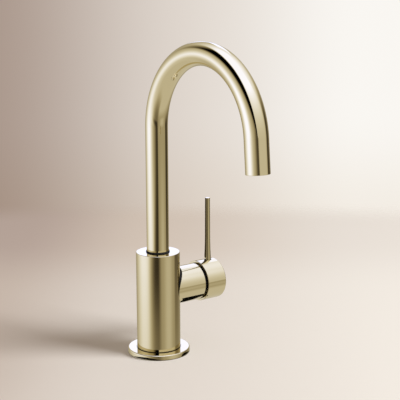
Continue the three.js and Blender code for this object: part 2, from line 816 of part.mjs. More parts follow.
function movingDisc() {
  const blank = rod(discMovingRadius, discMovingBottom, discMovingTop, middleSides);
  const pocket = rod(1, discMovingBottom - 1, discMovingBottom + discPocketDepth, narrowSides);
  pocket.scale(discPocketHalfHeight, discPocketHalfWidth, 1).translate(discPocketDrop, 0, 0);
  return part('ceramic_disc_moving', cut(blank, pocket), paleCeramic);
}

// The stem ends in a ball inside the carrier and in a square inside the hub.
function cartridgeStem() {
  const neckTo = pivot - stemNeckEnd;
  const neckAngle = Math.asin(stemNeckRadius / ballRadius);
  const ball = profileArc(0, ballCentre, ballRadius, Math.PI, neckAngle, 6);
  ball[0][0] = 0;
  const round = turned([
    ...ball,
    [stemNeckRadius, neckTo],
    [stemRadius, neckTo],
    [stemRadius, hubCavityEnd - 2 * seam],
    [0, hubCavityEnd - 2 * seam],
  ], narrowSides);
  const square = block(stemSquare, stemSquare, pivot, stemEnd);
  const pinHole = alongY(rod(pinRadius + boreClearance, -stemRadius - 1, stemRadius + 1, holeSides));
  const geometry = cut(joined(round, square), pinHole.translate(0, 0, pivot));
  return part('cartridge_stem', geometry, steel);
}

function handleHub() {
  const rimAngle = Math.acos((hubRear - pivot) / hubCavityRadius);
  const floorAngle = Math.acos((hubCavityEnd - pivot) / hubCavityRadius);
  const cornerRadius = hubRadius - hubFrontRound;
  const cornerHeight = hubEnd - hubFrontRound;
  const blank = turned([
    [0, hubCavityEnd],
    ...profileArc(0, pivot, hubCavityRadius, floorAngle, rimAngle, 6),
    [hubRadius - hubRearBevel, hubRear],
    [hubRadius, hubRear + hubRearBevel],
    ...profileArc(cornerRadius, cornerHeight, hubFrontRound, Math.PI / 2, 0, 3),
    [0, hubEnd],
  ], wideSides);
  const socketWidth = stemSquare + 2 * boreClearance;
  const socket = block(socketWidth, socketWidth, hubCavityEnd - 1, stemEnd + seam);
  const leverSeatHole = rod(leverFootRadius + boreClearance, leverSeat - seam, 2 * hubRadius, narrowSides);
  const tenonHole = rod(leverTenonRadius + boreClearance, leverTenonEnd - seam, hubRadius, narrowSides);
  const screwHole = rod(setScrewRadius + boreClearance, -hubRadius - 1, 0, holeSides);
  const holes = [leverSeatHole, tenonHole, screwHole].map((hole) => {
    return hole.rotateY(-Math.PI / 2).translate(0, 0, leverAxis);
  });
  return part('handle_hub', cut(blank, socket, ...holes), paleGold);
}

// The lever stands along +Z here, measured from the valve axis.
function leverRod() {
  const top = leverTop - valveHeight;
  const waist = top - leverWaistDrop;
  const flareSteps = 6;
  const flare = [];
  for (let step = 0; step <= flareSteps; step += 1) {
    const share = 1 - step / flareSteps;
    const height = waist - share * (waist - leverSeat);
    const growth = (leverFootRadius - leverWaistRadius) * share ** 1.6;
    flare.push([leverWaistRadius + growth, height]);
  }
  const profile = [
    [0, leverTenonEnd],
    [leverTenonRadius, leverTenonEnd],
    [leverTenonRadius, leverSeat],
    ...flare,
    [leverTipRadius, top - leverTipEdge],
    [leverTipRadius - leverTipEdge, top],
    [0, top],
  ];
  return part('lever_rod', turned(profile, narrowSides), paleGold);
}

function setScrew() {
  const top = -stemSquare / 2 - seam;
  const bottom = top - setScrewLength;
  const key = rod(setScrewKeyRadius, bottom - 1, bottom + setScrewKeyDepth, 6);
  const screw = cut(rod(setScrewRadius, bottom, top, holeSides), key);
  return part('hub_set_screw', screw, steel);
}

function screwPlug() {
  const bottom = -hubRadius + plugInset;
  return part('hub_screw_plug', rod(setScrewRadius, bottom, bottom + plugLength, holeSides), castBrass);
}

// ---------------------------------------------------------------------- scene
const valveGroup = new THREE.Group();
valveGroup.position.z = valveHeight;
valveGroup.rotation.y = Math.PI / 2;
valveGroup.add(
  cartridgeBase(),
  ...portSeals(),
  cartridgeBarrel(),
  fixedDisc(),
  movingDisc(),
  discCarrier(),
  stemGuide(),
  guideSeal(),
  stemPin(),
  cartridgeStem(),
  bonnetNut(),
  domeCap(),
  handleHub(),
);

const leverGroup = new THREE.Group();
leverGroup.position.set(leverAxis, 0, valveHeight);
leverGroup.add(leverRod(), setScrew(), screwPlug());

const faucet = new THREE.Group();
faucet.add(
  basePlate(),
  baseGasket(),
  mountingShank(),
  ...deckClamp(),
  bodyShell(),
  waterwayCore(),
  spoutGlideRing(),
  spoutTube(),
  spoutAdapter(),
  ...spoutSeals(),
  spoutSnapRing(),
  outletGroup(),
  valveGroup,
  leverGroup,
);

export default faucet;
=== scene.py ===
import json
import math

import bpy
from mathutils import Matrix, Vector


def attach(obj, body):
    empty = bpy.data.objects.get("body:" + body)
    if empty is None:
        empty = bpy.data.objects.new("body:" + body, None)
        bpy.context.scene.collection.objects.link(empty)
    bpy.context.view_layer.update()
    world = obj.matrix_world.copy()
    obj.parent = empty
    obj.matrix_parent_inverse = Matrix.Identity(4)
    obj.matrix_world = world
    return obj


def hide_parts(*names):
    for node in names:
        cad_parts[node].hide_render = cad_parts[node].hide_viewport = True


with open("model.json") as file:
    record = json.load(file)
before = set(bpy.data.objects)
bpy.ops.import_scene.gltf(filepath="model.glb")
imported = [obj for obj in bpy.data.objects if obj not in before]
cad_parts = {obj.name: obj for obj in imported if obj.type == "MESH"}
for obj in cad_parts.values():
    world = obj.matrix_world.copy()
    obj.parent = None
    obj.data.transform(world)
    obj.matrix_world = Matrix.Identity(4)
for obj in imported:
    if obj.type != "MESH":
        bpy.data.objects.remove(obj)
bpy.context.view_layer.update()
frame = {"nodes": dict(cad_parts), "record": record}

MM = 0.001

# -------------------- sizes in millimetres
# Most of them repeat the named sizes of the CAD source, which this script can't read.
PLATE_RADIUS = 31.3
PLATE_HEIGHT = 5.1
PLATE_BORE = 16.3
GASKET_INNER = 19.9
GASKET_OUTER = 28.0
GASKET_RECESS = 1.5
SHANK_RADIUS = 16.0
SHANK_BORE = 12.8
SHANK_BOTTOM = -66.0
SHANK_THREAD_TOP = -2.0
FLANGE_RADIUS = 19.2
FLANGE_TOP = 10.0
SPIGOT_RADIUS = 15.0
SPIGOT_TOP = 16.4
WASHER_RADIUS = 27.0
RUBBER_WASHER = (-33.0, -30.0)
STEEL_WASHER = (-35.3, -33.3)
NUT = (-49.3, -38.3)
NUT_RADIUS = 25.0
NUT_SCALLOPS = 9
SCALLOP_DEPTH = 1.6
SCALLOP_INNER = 20.0  # where the scallops begin, from the axis
NUT_SCREW_CIRCLE = 19.85
NUT_SCREW_RADIUS = 2.5
NUT_SCREW = (-53.3, -35.6)
NUT_SCREW_HEAD_RADIUS = 3.8
NUT_SCREW_HEAD = 2.6
NUT_SCREW_SLOT = (0.5, 1.3)  # half of its width, and its depth
BODY_RADIUS = 22.0
BODY_BOTTOM = 5.4
BODY_TOP = 104.1
BODY_BORE = 19.5
TOP_BORE = 11.4
GROOVE_RADIUS = 13.3
GROOVE_DROP = 1.2  # its upper edge below the body's top
TOP_WALL = 4.0
VALVE_HEIGHT = 65.2
HOUSING_RADIUS = 18.7
HOUSING_ROOT = 12.0
HOUSING_END = 46.3
HOUSING_BORE = 16.5
TUBE_RADIUS = 11.1
TUBE_BORE = 9.9
TUBE_BOTTOM = 98.9
BEND_RADIUS = 75.5
BEND_HEIGHT = 229.2
BEND_ANGLE = math.radians(175.3)
OUTLET_STRAIGHT = 30.9
HUB_RADIUS = 20.7
HUB_REAR = 48.6
HUB_END = 71.2
HUB_CAVITY_RADIUS = 19.5
HUB_CAVITY_END = 59.0
PIVOT = 42.6
LEVER_AXIS = 62.7
LEVER_TOP = 151.1
LEVER_TIP_RADIUS = 2.55
LEVER_WAIST_RADIUS = 2.72
LEVER_WAIST_DROP = 40.0
LEVER_FOOT_RADIUS = 3.62
LEVER_SEAT_DEPTH = 2.4
LEVER_TENON_RADIUS = 2.4
LEVER_TENON_END = 5.3  # above the valve axis
STEM_SQUARE = 5.6
STEM_END = 66.0
SET_SCREW_RADIUS = 1.75
SET_SCREW = (-10.1, -3.1)  # from the valve axis
SET_SCREW_KEY = (1.0, 2.5)  # the six-sided socket's radius and depth
SCREW_PLUG = (-20.3, -17.3)
INSERT_RADII = (8.6, 9.6)
INSERT = (1.0, 14.0)  # from the tube's end
AERATOR_RADII = (6.7, 8.3)
AERATOR = (1.0, 9.8)
AERATOR_NOTCH = (1.1, 1.2)  # half of its width, and its depth
SCREEN_RADIUS = 6.4
SCREEN = (3.0, 3.6)
CELL_RADIUS = 0.62
CELL_PITCH = 1.3
SCREEN_RIM = 1.1

# pitch and depth of the threads
SHANK_THREAD = (1.5, 0.85)
NUT_SCREW_THREAD = (0.8, 0.42)
SET_SCREW_THREAD = (0.7, 0.25)
OUTLET_THREAD = (0.8, 0.3)

FIT_GAP = 0.3  # between a piece and the hole that it fits
BEYOND = 40.0  # how far a long cutter reaches, past the column's wall or the housing's
PAST = 3.0  # how far a cutter comes out of a surface


# -------------------- turned and bent shapes
def spread(start, end, count):
    return [start + (end - start) * k / count for k in range(1, count)]


def straight(origin, along, across):
    """A path for round parts: the straight line through origin along a direction."""
    origin, along, across = Vector(origin), Vector(along), Vector(across)
    side = along.cross(across)

    def place(s):
        return origin + along * s, along, across, side

    return place


UPRIGHT = straight((0, 0, 0), (0, 0, 1), (1, 0, 0))
VALVE_AXIS = straight((0, 0, VALVE_HEIGHT), (1, 0, 0), (0, 0, 1))
LEVER_LINE = straight((LEVER_AXIS, 0, 0), (0, 0, 1), (1, 0, 0))


def spout_line(s):
    """The gooseneck's middle line: up the riser, round the bend, down the outlet."""
    bend_length = BEND_RADIUS * BEND_ANGLE
    riser = BEND_HEIGHT - TUBE_BOTTOM
    across = Vector((1, 0, 0))
    if s <= riser:
        centre, turn, run = Vector((0, 0, TUBE_BOTTOM + s)), 0.0, 0.0
    else:
        turn = min(s - riser, bend_length) / BEND_RADIUS
        run = max(s - riser - bend_length, 0.0)
        centre = Vector((0, -BEND_RADIUS + BEND_RADIUS * math.cos(turn),
                         BEND_HEIGHT + BEND_RADIUS * math.sin(turn)))
    along = Vector((0, -math.sin(turn), math.cos(turn)))
    if run:
        centre = centre + along * run
    return centre, along, across, along.cross(across)


SPOUT_LENGTH = BEND_HEIGHT - TUBE_BOTTOM + BEND_RADIUS * BEND_ANGLE + OUTLET_STRAIGHT
outlet_end, outlet_along, outlet_across = spout_line(SPOUT_LENGTH)[:3]
INTO_OUTLET = straight(outlet_end, -outlet_along, outlet_across)


def outline(corners, arc_steps=5, stations=(), wall=None):
    """Rounds the corners (radius, height, rounding) of a closed section, which runs
    anticlockwise with radius to the right, and cuts long straight sides at the stations,
    or only those of one wall. Gives (radius, height, normal before, normal after)."""
    points = []
    count = len(corners)
    for i, (r, h, rounding) in enumerate(corners):
        here = Vector((r, h))
        before = (here - Vector(corners[i - 1][:2])).normalized()
        after = (Vector(corners[(i + 1) % count][:2]) - here).normalized()
        n0 = Vector((before.y, -before.x))
        n1 = Vector((after.y, -after.x))
        turn = math.atan2(before.x * after.y - before.y * after.x, before.dot(after))
        if rounding <= 0 or abs(turn) < 1e-4:
            points.append((here, n0, n1))
            continue
        reach = rounding * math.tan(abs(turn) / 2)
        start = here - before * reach
        sign = 1 if turn > 0 else -1
        centre = start - n0 * rounding * sign
        for k in range(arc_steps + 1):
            a = turn * k / arc_steps
            n = Vector((n0.x * math.cos(a) - n0.y * math.sin(a),
                        n0.x * math.sin(a) + n0.y * math.cos(a)))
            points.append((centre + n * rounding * sign, n, n))
    cut = []
    for i, (p, n0, n1) in enumerate(points):
        cut.append((p.x, p.y, n0, n1))
        q = points[(i + 1) % len(points)][0]
        low, high = sorted((p.y, q.y))
        inside = sorted(s for s in stations if low + 0.02 < s < high - 0.02)
        if wall is not None and abs(p.x - wall) > 0.01:
            inside = []
        for s in inside if q.y > p.y else reversed(inside):
            share = (s - p.y) / (q.y - p.y)
            cut.append((p.x + (q.x - p.x) * share, s, n1, n1))
    return cut


def rod(radius, low, high, rounding=0.0):
    """The section of a plain cylinder."""
    return outline([(0.0, low, 0.0), (radius, low, rounding), (radius, high, rounding),
                    (0.0, high, 0.0)])


def lathe(section, sides, place=UPRIGHT, shape=None):
    """Sweeps a closed section round a path. Gives points, faces and a normal for each
    corner, or no normals where a shape changes the radius by angle and height."""
    points, rings = [], []
    for r, h, _, _ in section:
        centre, _, across, side = place(h)
        if r < 1e-6:
            rings.append([len(points)] * sides)
            points.append(centre)
            continue
        rings.append(range(len(points), len(points) + sides))
        for k in range(sides):
            a = math.tau * k / sides
            reach = shape(a, r, h) if shape else r
            points.append(centre + (across * math.cos(a) + side * math.sin(a)) * reach)
    faces, normals = [], []
    for i in range(len(section)):
        j = (i + 1) % len(section)
        if section[i][0] < 1e-6 and section[j][0] < 1e-6:
            continue
        for k in range(sides):
            m = (k + 1) % sides
            corners = [(i, k, section[i][3]), (i, m, section[i][3]),
                       (j, m, section[j][2]), (j, k, section[j][2])]
            seen, face, face_normals = set(), [], []
            for row, column, n in corners:
                index = rings[row][column]
                if index in seen:
                    continue
                seen.add(index)
                _, along, across, side = place(section[row][1])
                a = math.tau * column / sides
                radial = across * math.cos(a) + side * math.sin(a)
                face.append(index)
                face_normals.append((radial * n.x + along * n.y).normalized())
            faces.append(face)
            normals.extend(face_normals)
    return points, faces, None if shape else normals


def faceted(angle, r, h):
    """A shape for lathe that keeps the radius, for pieces with flat sides."""
    return r


def thread(wall, low, high, pitch, depth):
    """A shape for lathe: a screw thread in the wall at one radius, run out at both ends.
    A negative depth cuts outwards, into the wall of a bore."""
    def shape(angle, r, h):
        if abs(r - wall) > 0.01 or not low < h < high:
            return r
        wave = (h / pitch - angle / math.tau) % 1.0
        tooth = min(max(abs(wave - 0.5) * 2.5 - 0.15, 0.0), 1.0)
        return r - depth * tooth * min(1.0, (h - low) / pitch, (high - h) / pitch)

    return shape


def thread_rows(low, high, pitch):
    """Heights at which a threaded wall is cut, eight to a turn."""
    return spread(low, high, round((high - low) / pitch * 8))


BOX_FACES = [[0, 1, 3, 2], [4, 6, 7, 5], [0, 4, 5, 1], [2, 3, 7, 6], [0, 2, 6, 4], [1, 5, 7, 3]]


def block(low, high):
    """A box cutter from its lowest to its highest corner."""
    points = [Vector((x, y, z)) for x in (low[0], high[0]) for y in (low[1], high[1])
              for z in (low[2], high[2])]
    return points, BOX_FACES, None


SHARP_ANGLE = math.radians(34)


def mesh_of(name, *shapes):
    """One mesh from shapes in millimetres, with their exact normals where all have them."""
    points, faces, normals = [], [], []
    exact = all(shape[2] is not None for shape in shapes)
    for shape_points, shape_faces, shape_normals in shapes:
        start = len(points)
        points += [tuple(p * MM) for p in shape_points]
        faces += [[start + i for i in face] for face in shape_faces]
        normals += [tuple(n) for n in shape_normals] if exact else []
    mesh = bpy.data.meshes.new(name)
    mesh.from_pydata(points, [], faces)
    mesh.shade_smooth()
    if exact:
        store = mesh.attributes.new("turned_normal", "FLOAT_VECTOR", "CORNER")
        store.data.foreach_set("vector", [c for n in normals for c in n])
        mesh.normals_split_custom_set(normals)
    else:
        mesh.set_sharp_from_angle(angle=SHARP_ANGLE)
    return mesh


def new_object(name, data):
    made = bpy.data.objects.new(name, data)
    bpy.context.scene.collection.objects.link(made)
    return made


def piece(name, material, body, slot, *shapes, stands_for=()):
    """A visible piece of the faucet that rides on a body."""
    made = new_object(name, mesh_of(name, *shapes))
    made.data.materials.append(material)
    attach(made, body)
    if stands_for:
        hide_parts(*stands_for)
    return made


def carve(target, *shapes):
    """Cuts shapes out of a piece, and gives it back its exact normals afterwards."""
    cutter = new_object("cutter", mesh_of("cutter", *shapes))
    change = target.modifiers.new("carve", "BOOLEAN")
    change.operation = "DIFFERENCE"
    change.solver = "EXACT"
    change.object = cutter
    bpy.context.view_layer.update()
    graph = bpy.context.evaluated_depsgraph_get()
    mesh = bpy.data.meshes.new_from_object(
        target.evaluated_get(graph), preserve_all_data_layers=True, depsgraph=graph)
    target.modifiers.clear()
    old = target.data
    target.data = mesh
    mesh.name = target.name
    bpy.data.meshes.remove(old)
    bpy.data.objects.remove(cutter)
    restore_normals(mesh)


def restore_normals(mesh):
    """Sets the exact normals that the mesh carries, and the flat one on cut faces."""
    store = mesh.attributes.get("turned_normal")
    if store is None:
        mesh.set_sharp_from_angle(angle=SHARP_ANGLE)
        return
    normals = []
    for face in mesh.polygons:
        for index in face.loop_indices:
            n = Vector(store.data[index].vector)
            if n.length < 0.5:
                n = face.normal.copy()
            elif n.dot(face.normal) < 0:
                n = -n
            normals.append(tuple(n.normalized()))
    mesh.shade_smooth()
    mesh.normals_split_custom_set(normals)


# -------------------- node helpers
class Nodes:
    """Short calls for building a node tree."""

    def __init__(self, tree):
        self.tree = tree
        tree.nodes.clear()

    def add(self, kind, inputs=None, **settings):
        node = self.tree.nodes.new(kind)
        for key, value in settings.items():
            setattr(node, key, value)
        for key, value in (inputs or {}).items():
            socket = node.inputs[key]
            if isinstance(value, bpy.types.NodeSocket):
                self.tree.links.new(value, socket)
            else:
                socket.default_value = value
        return node

    def math(self, operation, a, b=0.0):
        return self.add("ShaderNodeMath", {0: a, 1: b}, operation=operation).outputs[0]

    def times(self, a, b):
        return self.math("MULTIPLY", a, b)

    def plus(self, a, b):
        return self.math("ADD", a, b)

    def minus(self, a, b):
        return self.math("SUBTRACT", a, b)

    def along(self, place, axis):
        """How far a place or direction reaches along an axis."""
        node = self.add("ShaderNodeVectorMath", {0: place, 1: tuple(axis)},
                        operation="DOT_PRODUCT")
        return node.outputs["Value"]

    def ramp(self, value, low, high, out_low=0.0, out_high=1.0):
        """A smooth step from out_low to out_high as the value goes from low to high."""
        node = self.add("ShaderNodeMapRange", {
            "Value": value, "From Min": low, "From Max": high,
            "To Min": out_low, "To Max": out_high}, interpolation_type="SMOOTHSTEP")
        return node.outputs["Result"]

    def mix(self, share, a, b):
        """A colour between a and b."""
        node = self.add("ShaderNodeMix", {"Factor": share, "A": a, "B": b}, data_type="RGBA")
        return node.outputs["Result"]


def colour(r, g, b):
    return (r, g, b, 1.0)


# -------------------- materials
def new_material(name):
    material = bpy.data.materials.new(name)
    material.use_nodes = True
    nodes = Nodes(material.node_tree)
    return material, nodes


def finish_material(nodes, **inputs):
    sockets = {key.replace("_", " "): value for key, value in inputs.items()}
    shader = nodes.add("ShaderNodeBsdfPrincipled", sockets)
    nodes.add("ShaderNodeOutputMaterial", {"Surface": shader.outputs["BSDF"]})


def place_of(n, scale=(1, 1, 1)):
    """The object's own coordinates, in metres, stretched by a scale."""
    place = n.add("ShaderNodeTexCoord").outputs["Object"]
    return n.add("ShaderNodeMapping", {"Vector": place, "Scale": scale}).outputs[0]


def noise(n, place, scale, detail=2.0, roughness=0.5):
    return n.add("ShaderNodeTexNoise", {
        "Vector": place, "Scale": scale, "Detail": detail, "Roughness": roughness}).outputs["Fac"]


def edge_share(n, radius):
    """Where the surface bends sharply: 1 on an edge or in a corner."""
    rounded = n.add("ShaderNodeBevel", {"Radius": radius}, samples=4).outputs[0]
    flat = n.add("ShaderNodeNewGeometry").outputs["Normal"]
    turn = n.add("ShaderNodeVectorMath", {0: rounded, 1: flat},
                 operation="DISTANCE").outputs["Value"]
    return n.ramp(turn, 0.04, 0.3)


def crevice_shade(n, distance):
    """Where the surface is shut in and shade falls: 1 deep in a joint or groove. The materials
    paint shade with it.
    """
    open_share = n.add("ShaderNodeAmbientOcclusion", {"Distance": distance}, samples=8)
    return n.ramp(open_share.outputs["AO"], 0.45, 0.72, 1.0, 0.0)


def bump(n, height, strength, distance):
    return n.add("ShaderNodeBump", {
        "Height": height, "Strength": strength, "Distance": distance}).outputs["Normal"]


def plated_brass(name, tone, roughness, brushed):
    """Pale gold plating on brass: faint clouds, polishing lines, warmer where the edges are rubbed
    thin, and painted shade, near black, deep in the joints."""
    material, n = new_material(name)
    clouds = noise(n, place_of(n), 28.0, 3.0)
    lines = noise(n, place_of(n, (1, 1, 6)), 700.0, 2.0, 0.7)
    smudges = noise(n, place_of(n), 9.0, 4.0, 0.6)
    tint = n.mix(clouds, colour(*tone), colour(*(c * 0.96 for c in tone)))
    tint = n.mix(n.times(edge_share(n, 0.0004), 0.3), tint, colour(0.72, 0.58, 0.33))
    # painted shade: the tint goes near black where the ambient occlusion finds a joint
    tint = n.mix(crevice_shade(n, 0.003), tint, colour(0.02, 0.016, 0.01))
    rough = n.ramp(clouds, 0.35, 0.7, 0.85 * roughness, 1.2 * roughness)
    rough = n.plus(rough, n.ramp(lines, 0.3, 0.7, -brushed * roughness, brushed * roughness))
    rough = n.plus(rough, n.ramp(smudges, 0.58, 0.72, 0.0, 0.4 * roughness))
    finish_material(n, Base_Color=tint, Metallic=1.0, Roughness=rough,
                    Normal=bump(n, lines, 0.04 * brushed, 0.00002))
    return material


def machined_metal(name, tone, tarnish, roughness):
    """Bare turned metal: fine tool rings, tarnish in clouds, bright rubbed edges and painted shade
    deep in the grooves."""
    material, n = new_material(name)
    rings = noise(n, place_of(n, (0.02, 0.02, 1)), 2600.0, 2.0, 0.7)
    clouds = noise(n, place_of(n), 120.0, 4.0, 0.6)
    spots = noise(n, place_of(n), 650.0, 2.0)
    tint = n.mix(n.ramp(clouds, 0.42, 0.68, 0.0, 0.8), colour(*tone), colour(*tarnish))
    tint = n.mix(n.ramp(spots, 0.62, 0.72, 0.0, 0.5), tint, colour(*(c * 0.45 for c in tarnish)))
    tint = n.mix(n.ramp(rings, 0.3, 0.7, 0.0, 0.22), tint, colour(*(c * 0.6 for c in tone)))
    # painted shade: a dark tarnish colour where the ambient occlusion finds a groove
    tint = n.mix(crevice_shade(n, 0.0022), tint, colour(*(c * 0.12 for c in tarnish)))
    tint = n.mix(n.times(edge_share(n, 0.0003), 0.55), tint,
                 colour(*(min(1.0, c * 1.18) for c in tone)))
    rough = n.ramp(clouds, 0.35, 0.7, 0.8 * roughness, 1.35 * roughness)
    rough = n.plus(rough, n.ramp(rings, 0.3, 0.7, -0.06, 0.06))
    finish_material(n, Base_Color=tint, Metallic=1.0, Roughness=rough,
                    Normal=bump(n, rings, 0.35, 0.00006))
    return material


def moulded_rubber(name):
    """Black rubber: mould grain, chalky bloom in clouds, and edges rubbed to grey."""
    material, n = new_material(name)
    grain = noise(n, place_of(n), 2400.0, 3.0, 0.65)
    bloom = noise(n, place_of(n), 90.0, 4.0, 0.6)
    tint = n.mix(n.ramp(bloom, 0.4, 0.75), colour(0.012, 0.012, 0.012),
                 colour(0.032, 0.031, 0.029))
    tint = n.mix(n.times(edge_share(n, 0.0004), 0.5), tint, colour(0.06, 0.058, 0.055))
    finish_material(n, Base_Color=tint, Roughness=n.ramp(grain, 0.3, 0.7, 0.6, 0.9),
                    Specular_IOR_Level=0.2, Normal=bump(n, grain, 0.5, 0.00008))
    return material


def moulded_plastic(name, tone, shade, roughness, fibres):
    """Moulded plastic: flow marks, a fine eroded skin, glass fibres where it is filled, and
    painted shade in the corners."""
    material, n = new_material(name)
    flow = noise(n, place_of(n, (1, 1, 0.35)), 160.0, 3.0, 0.55)
    skin = noise(n, place_of(n), 3200.0, 2.0)
    strands = noise(n, place_of(n, (1, 4, 9)), 900.0, 2.0, 0.6)
    tint = n.mix(n.ramp(flow, 0.35, 0.7), colour(*tone), colour(*shade))
    tint = n.mix(n.ramp(strands, 0.6, 0.72, 0.0, fibres), tint, colour(0.55, 0.55, 0.54))
    # painted shade: darker where the ambient occlusion finds a corner
    tint = n.mix(crevice_shade(n, 0.002), tint, colour(*(c * 0.35 for c in shade)))
    rough = n.ramp(skin, 0.3, 0.7, 0.8 * roughness, 1.25 * roughness)
    finish_material(n, Base_Color=tint, Roughness=rough, Normal=bump(n, skin, 0.25, 0.00004))
    return material


def lapped_ceramic(name):
    """Alumina ground flat: ivory with faint clouds, and crossing lapping scratches."""
    material, n = new_material(name)
    clouds = noise(n, place_of(n), 220.0, 4.0, 0.5)
    lapping = noise(n, place_of(n, (1, 14, 1)), 800.0, 2.0, 0.6)
    crossing = noise(n, place_of(n, (1, 1, 14)), 800.0, 2.0, 0.6)
    both = n.plus(lapping, crossing)
    tint = n.mix(n.ramp(clouds, 0.35, 0.7), colour(0.86, 0.85, 0.8), colour(0.78, 0.76, 0.7))
    finish_material(n, Base_Color=tint, Roughness=n.ramp(both, 0.8, 1.2, 0.08, 0.24),
                    Normal=bump(n, both, 0.15, 0.00002))
    return material


GOLD = (0.77, 0.68, 0.43)
polished_gold = plated_brass("polished_gold", GOLD, 0.045, 0.25)
satin_gold = plated_brass("satin_gold", GOLD, 0.06, 0.3)
machined_brass = machined_metal("machined_brass", (0.74, 0.56, 0.30), (0.46, 0.31, 0.15), 0.24)
stainless = machined_metal("stainless_steel", (0.66, 0.66, 0.66), (0.50, 0.49, 0.47), 0.22)
black_rubber = moulded_rubber("black_rubber")
white_acetal = moulded_plastic("white_acetal", (0.80, 0.79, 0.75), (0.72, 0.70, 0.65), 0.38, 0.0)
grey_filled = moulded_plastic("grey_filled_plastic", (0.15, 0.16, 0.175), (0.12, 0.125, 0.14),
                              0.45, 0.35)
alumina = lapped_ceramic("alumina")


# -------------------- pieces in view
def make_base_plate():
    section = outline([
        (PLATE_BORE, 0.0, 0.2), (GASKET_INNER, 0.0, 0.1), (GASKET_INNER, GASKET_RECESS, 0.1),
        (GASKET_OUTER, GASKET_RECESS, 0.1), (GASKET_OUTER, 0.0, 0.1),
        (PLATE_RADIUS, 0.0, 0.15), (PLATE_RADIUS, PLATE_HEIGHT, 1.0),
        (PLATE_BORE, PLATE_HEIGHT, 0.3)], arc_steps=8)
    piece("base_plate_turned", polished_gold, "body", "pale_gold",
          lathe(section, 160), stands_for=["base_plate"])


def make_column():
    groove_top, groove_bottom = BODY_TOP - GROOVE_DROP, BODY_TOP - TOP_WALL
    column = outline([
        (BODY_BORE, BODY_BOTTOM, 0.3), (BODY_RADIUS, BODY_BOTTOM, 0.3),
        (BODY_RADIUS, BODY_TOP, 0.5), (TOP_BORE, BODY_TOP, 0.2),
        (TOP_BORE, groove_top, 0.1), (GROOVE_RADIUS, groove_top, 0.1),
        (GROOVE_RADIUS, groove_bottom, 0.2), (BODY_BORE, groove_bottom, 0.5)], arc_steps=6)
    made = piece("body_turned", satin_gold, "body", "pale_gold",
                 lathe(column, 192), stands_for=["body_shell"])
    carve(made, lathe(rod(HOUSING_BORE, HOUSING_ROOT + 0.5, BEYOND), 160, VALVE_AXIS))


def make_housing():
    """The side housing, with a tapering shadow gap where it meets the column."""
    sleeve = outline([
        (HOUSING_BORE, HOUSING_ROOT, 0.0), (HOUSING_RADIUS, HOUSING_ROOT, 0.0),
        (HOUSING_RADIUS, HOUSING_END, 0.4), (HOUSING_BORE, HOUSING_END, 0.3)], arc_steps=6)
    made = piece("housing_turned", satin_gold, "body", "pale_gold",
                 lathe(sleeve, 160, VALVE_AXIS), stands_for=["body_shell"])
    gap_width, gap_lean = 0.6, 0.13
    leaning = straight((0, 0, VALVE_HEIGHT), Vector((gap_lean, 0, 1)).normalized(), (0, 1, 0))
    carve(made, lathe(rod(BODY_RADIUS + gap_width, -BEYOND, BEYOND), 192, leaning))


def make_neck_shade():
    """A black sleeve that shows in the shadow gap. Its black is painted shade: it stands in for
    the brass neck lying dark deep in the gap.
    """
    inner, outer, end = HOUSING_BORE + 0.05, 17.6, 30.0
    made = piece("housing_neck", black_rubber, "body", "rubber", lathe(outline([
        (inner, HOUSING_ROOT, 0.0), (outer, HOUSING_ROOT, 0.0), (outer, end, 0.1),
        (inner, end, 0.1)]), 120, VALVE_AXIS))
    below_housing, above_housing = 30.0, 100.0
    carve(made, lathe(rod(BODY_RADIUS - 0.2, below_housing, above_housing), 96))


def make_seals():
    """Black rings that show in the joints: at the tube's foot, and between housing and hub."""
    on_tube, in_bore, brim = TUBE_RADIUS + 0.05, 11.36, 11.85
    wiper = outline([
        (on_tube, BODY_TOP - 1.0, 0.0), (in_bore, BODY_TOP - 1.0, 0.0),
        (in_bore, BODY_TOP + 0.05, 0.0), (brim, BODY_TOP + 0.05, 0.15),
        (brim - 0.15, BODY_TOP + 1.2, 0.3), (on_tube, BODY_TOP + 1.4, 0.1)])
    piece("tube_wiper_ring", black_rubber, "body", "rubber", lathe(wiper, 96))
    inner, outer = 14.8, 17.9
    lip = outline([
        (inner, HOUSING_END + 0.05, 0.0), (outer, HOUSING_END + 0.05, 0.2),
        (outer, HOUSING_END + 0.8, 0.3), (outer - 0.6, HOUSING_END + 2.2, 0.3),
        (outer - 1.3, HOUSING_END + 3.4, 0.2), (outer - 2.0, HOUSING_END + 3.4, 0.1)])
    piece("housing_lip_seal", black_rubber, "body", "rubber", lathe(lip, 120, VALVE_AXIS))


def make_spout():
    riser = BEND_HEIGHT - TUBE_BOTTOM
    bend_end = riser + BEND_RADIUS * BEND_ANGLE
    stations = spread(0, riser, 12) + [riser] + spread(riser, bend_end, 140)
    stations += [bend_end] + spread(bend_end, SPOUT_LENGTH, 4)
    section = outline([
        (TUBE_RADIUS, 0.0, 0.2), (TUBE_RADIUS, SPOUT_LENGTH, 0.35),
        (TUBE_BORE, SPOUT_LENGTH, 0.35), (TUBE_BORE, 0.0, 0.2)], arc_steps=5,
        stations=stations)
    piece("spout_bent", polished_gold, "spout", "pale_gold",
          lathe(section, 96, spout_line), stands_for=["spout_tube"])


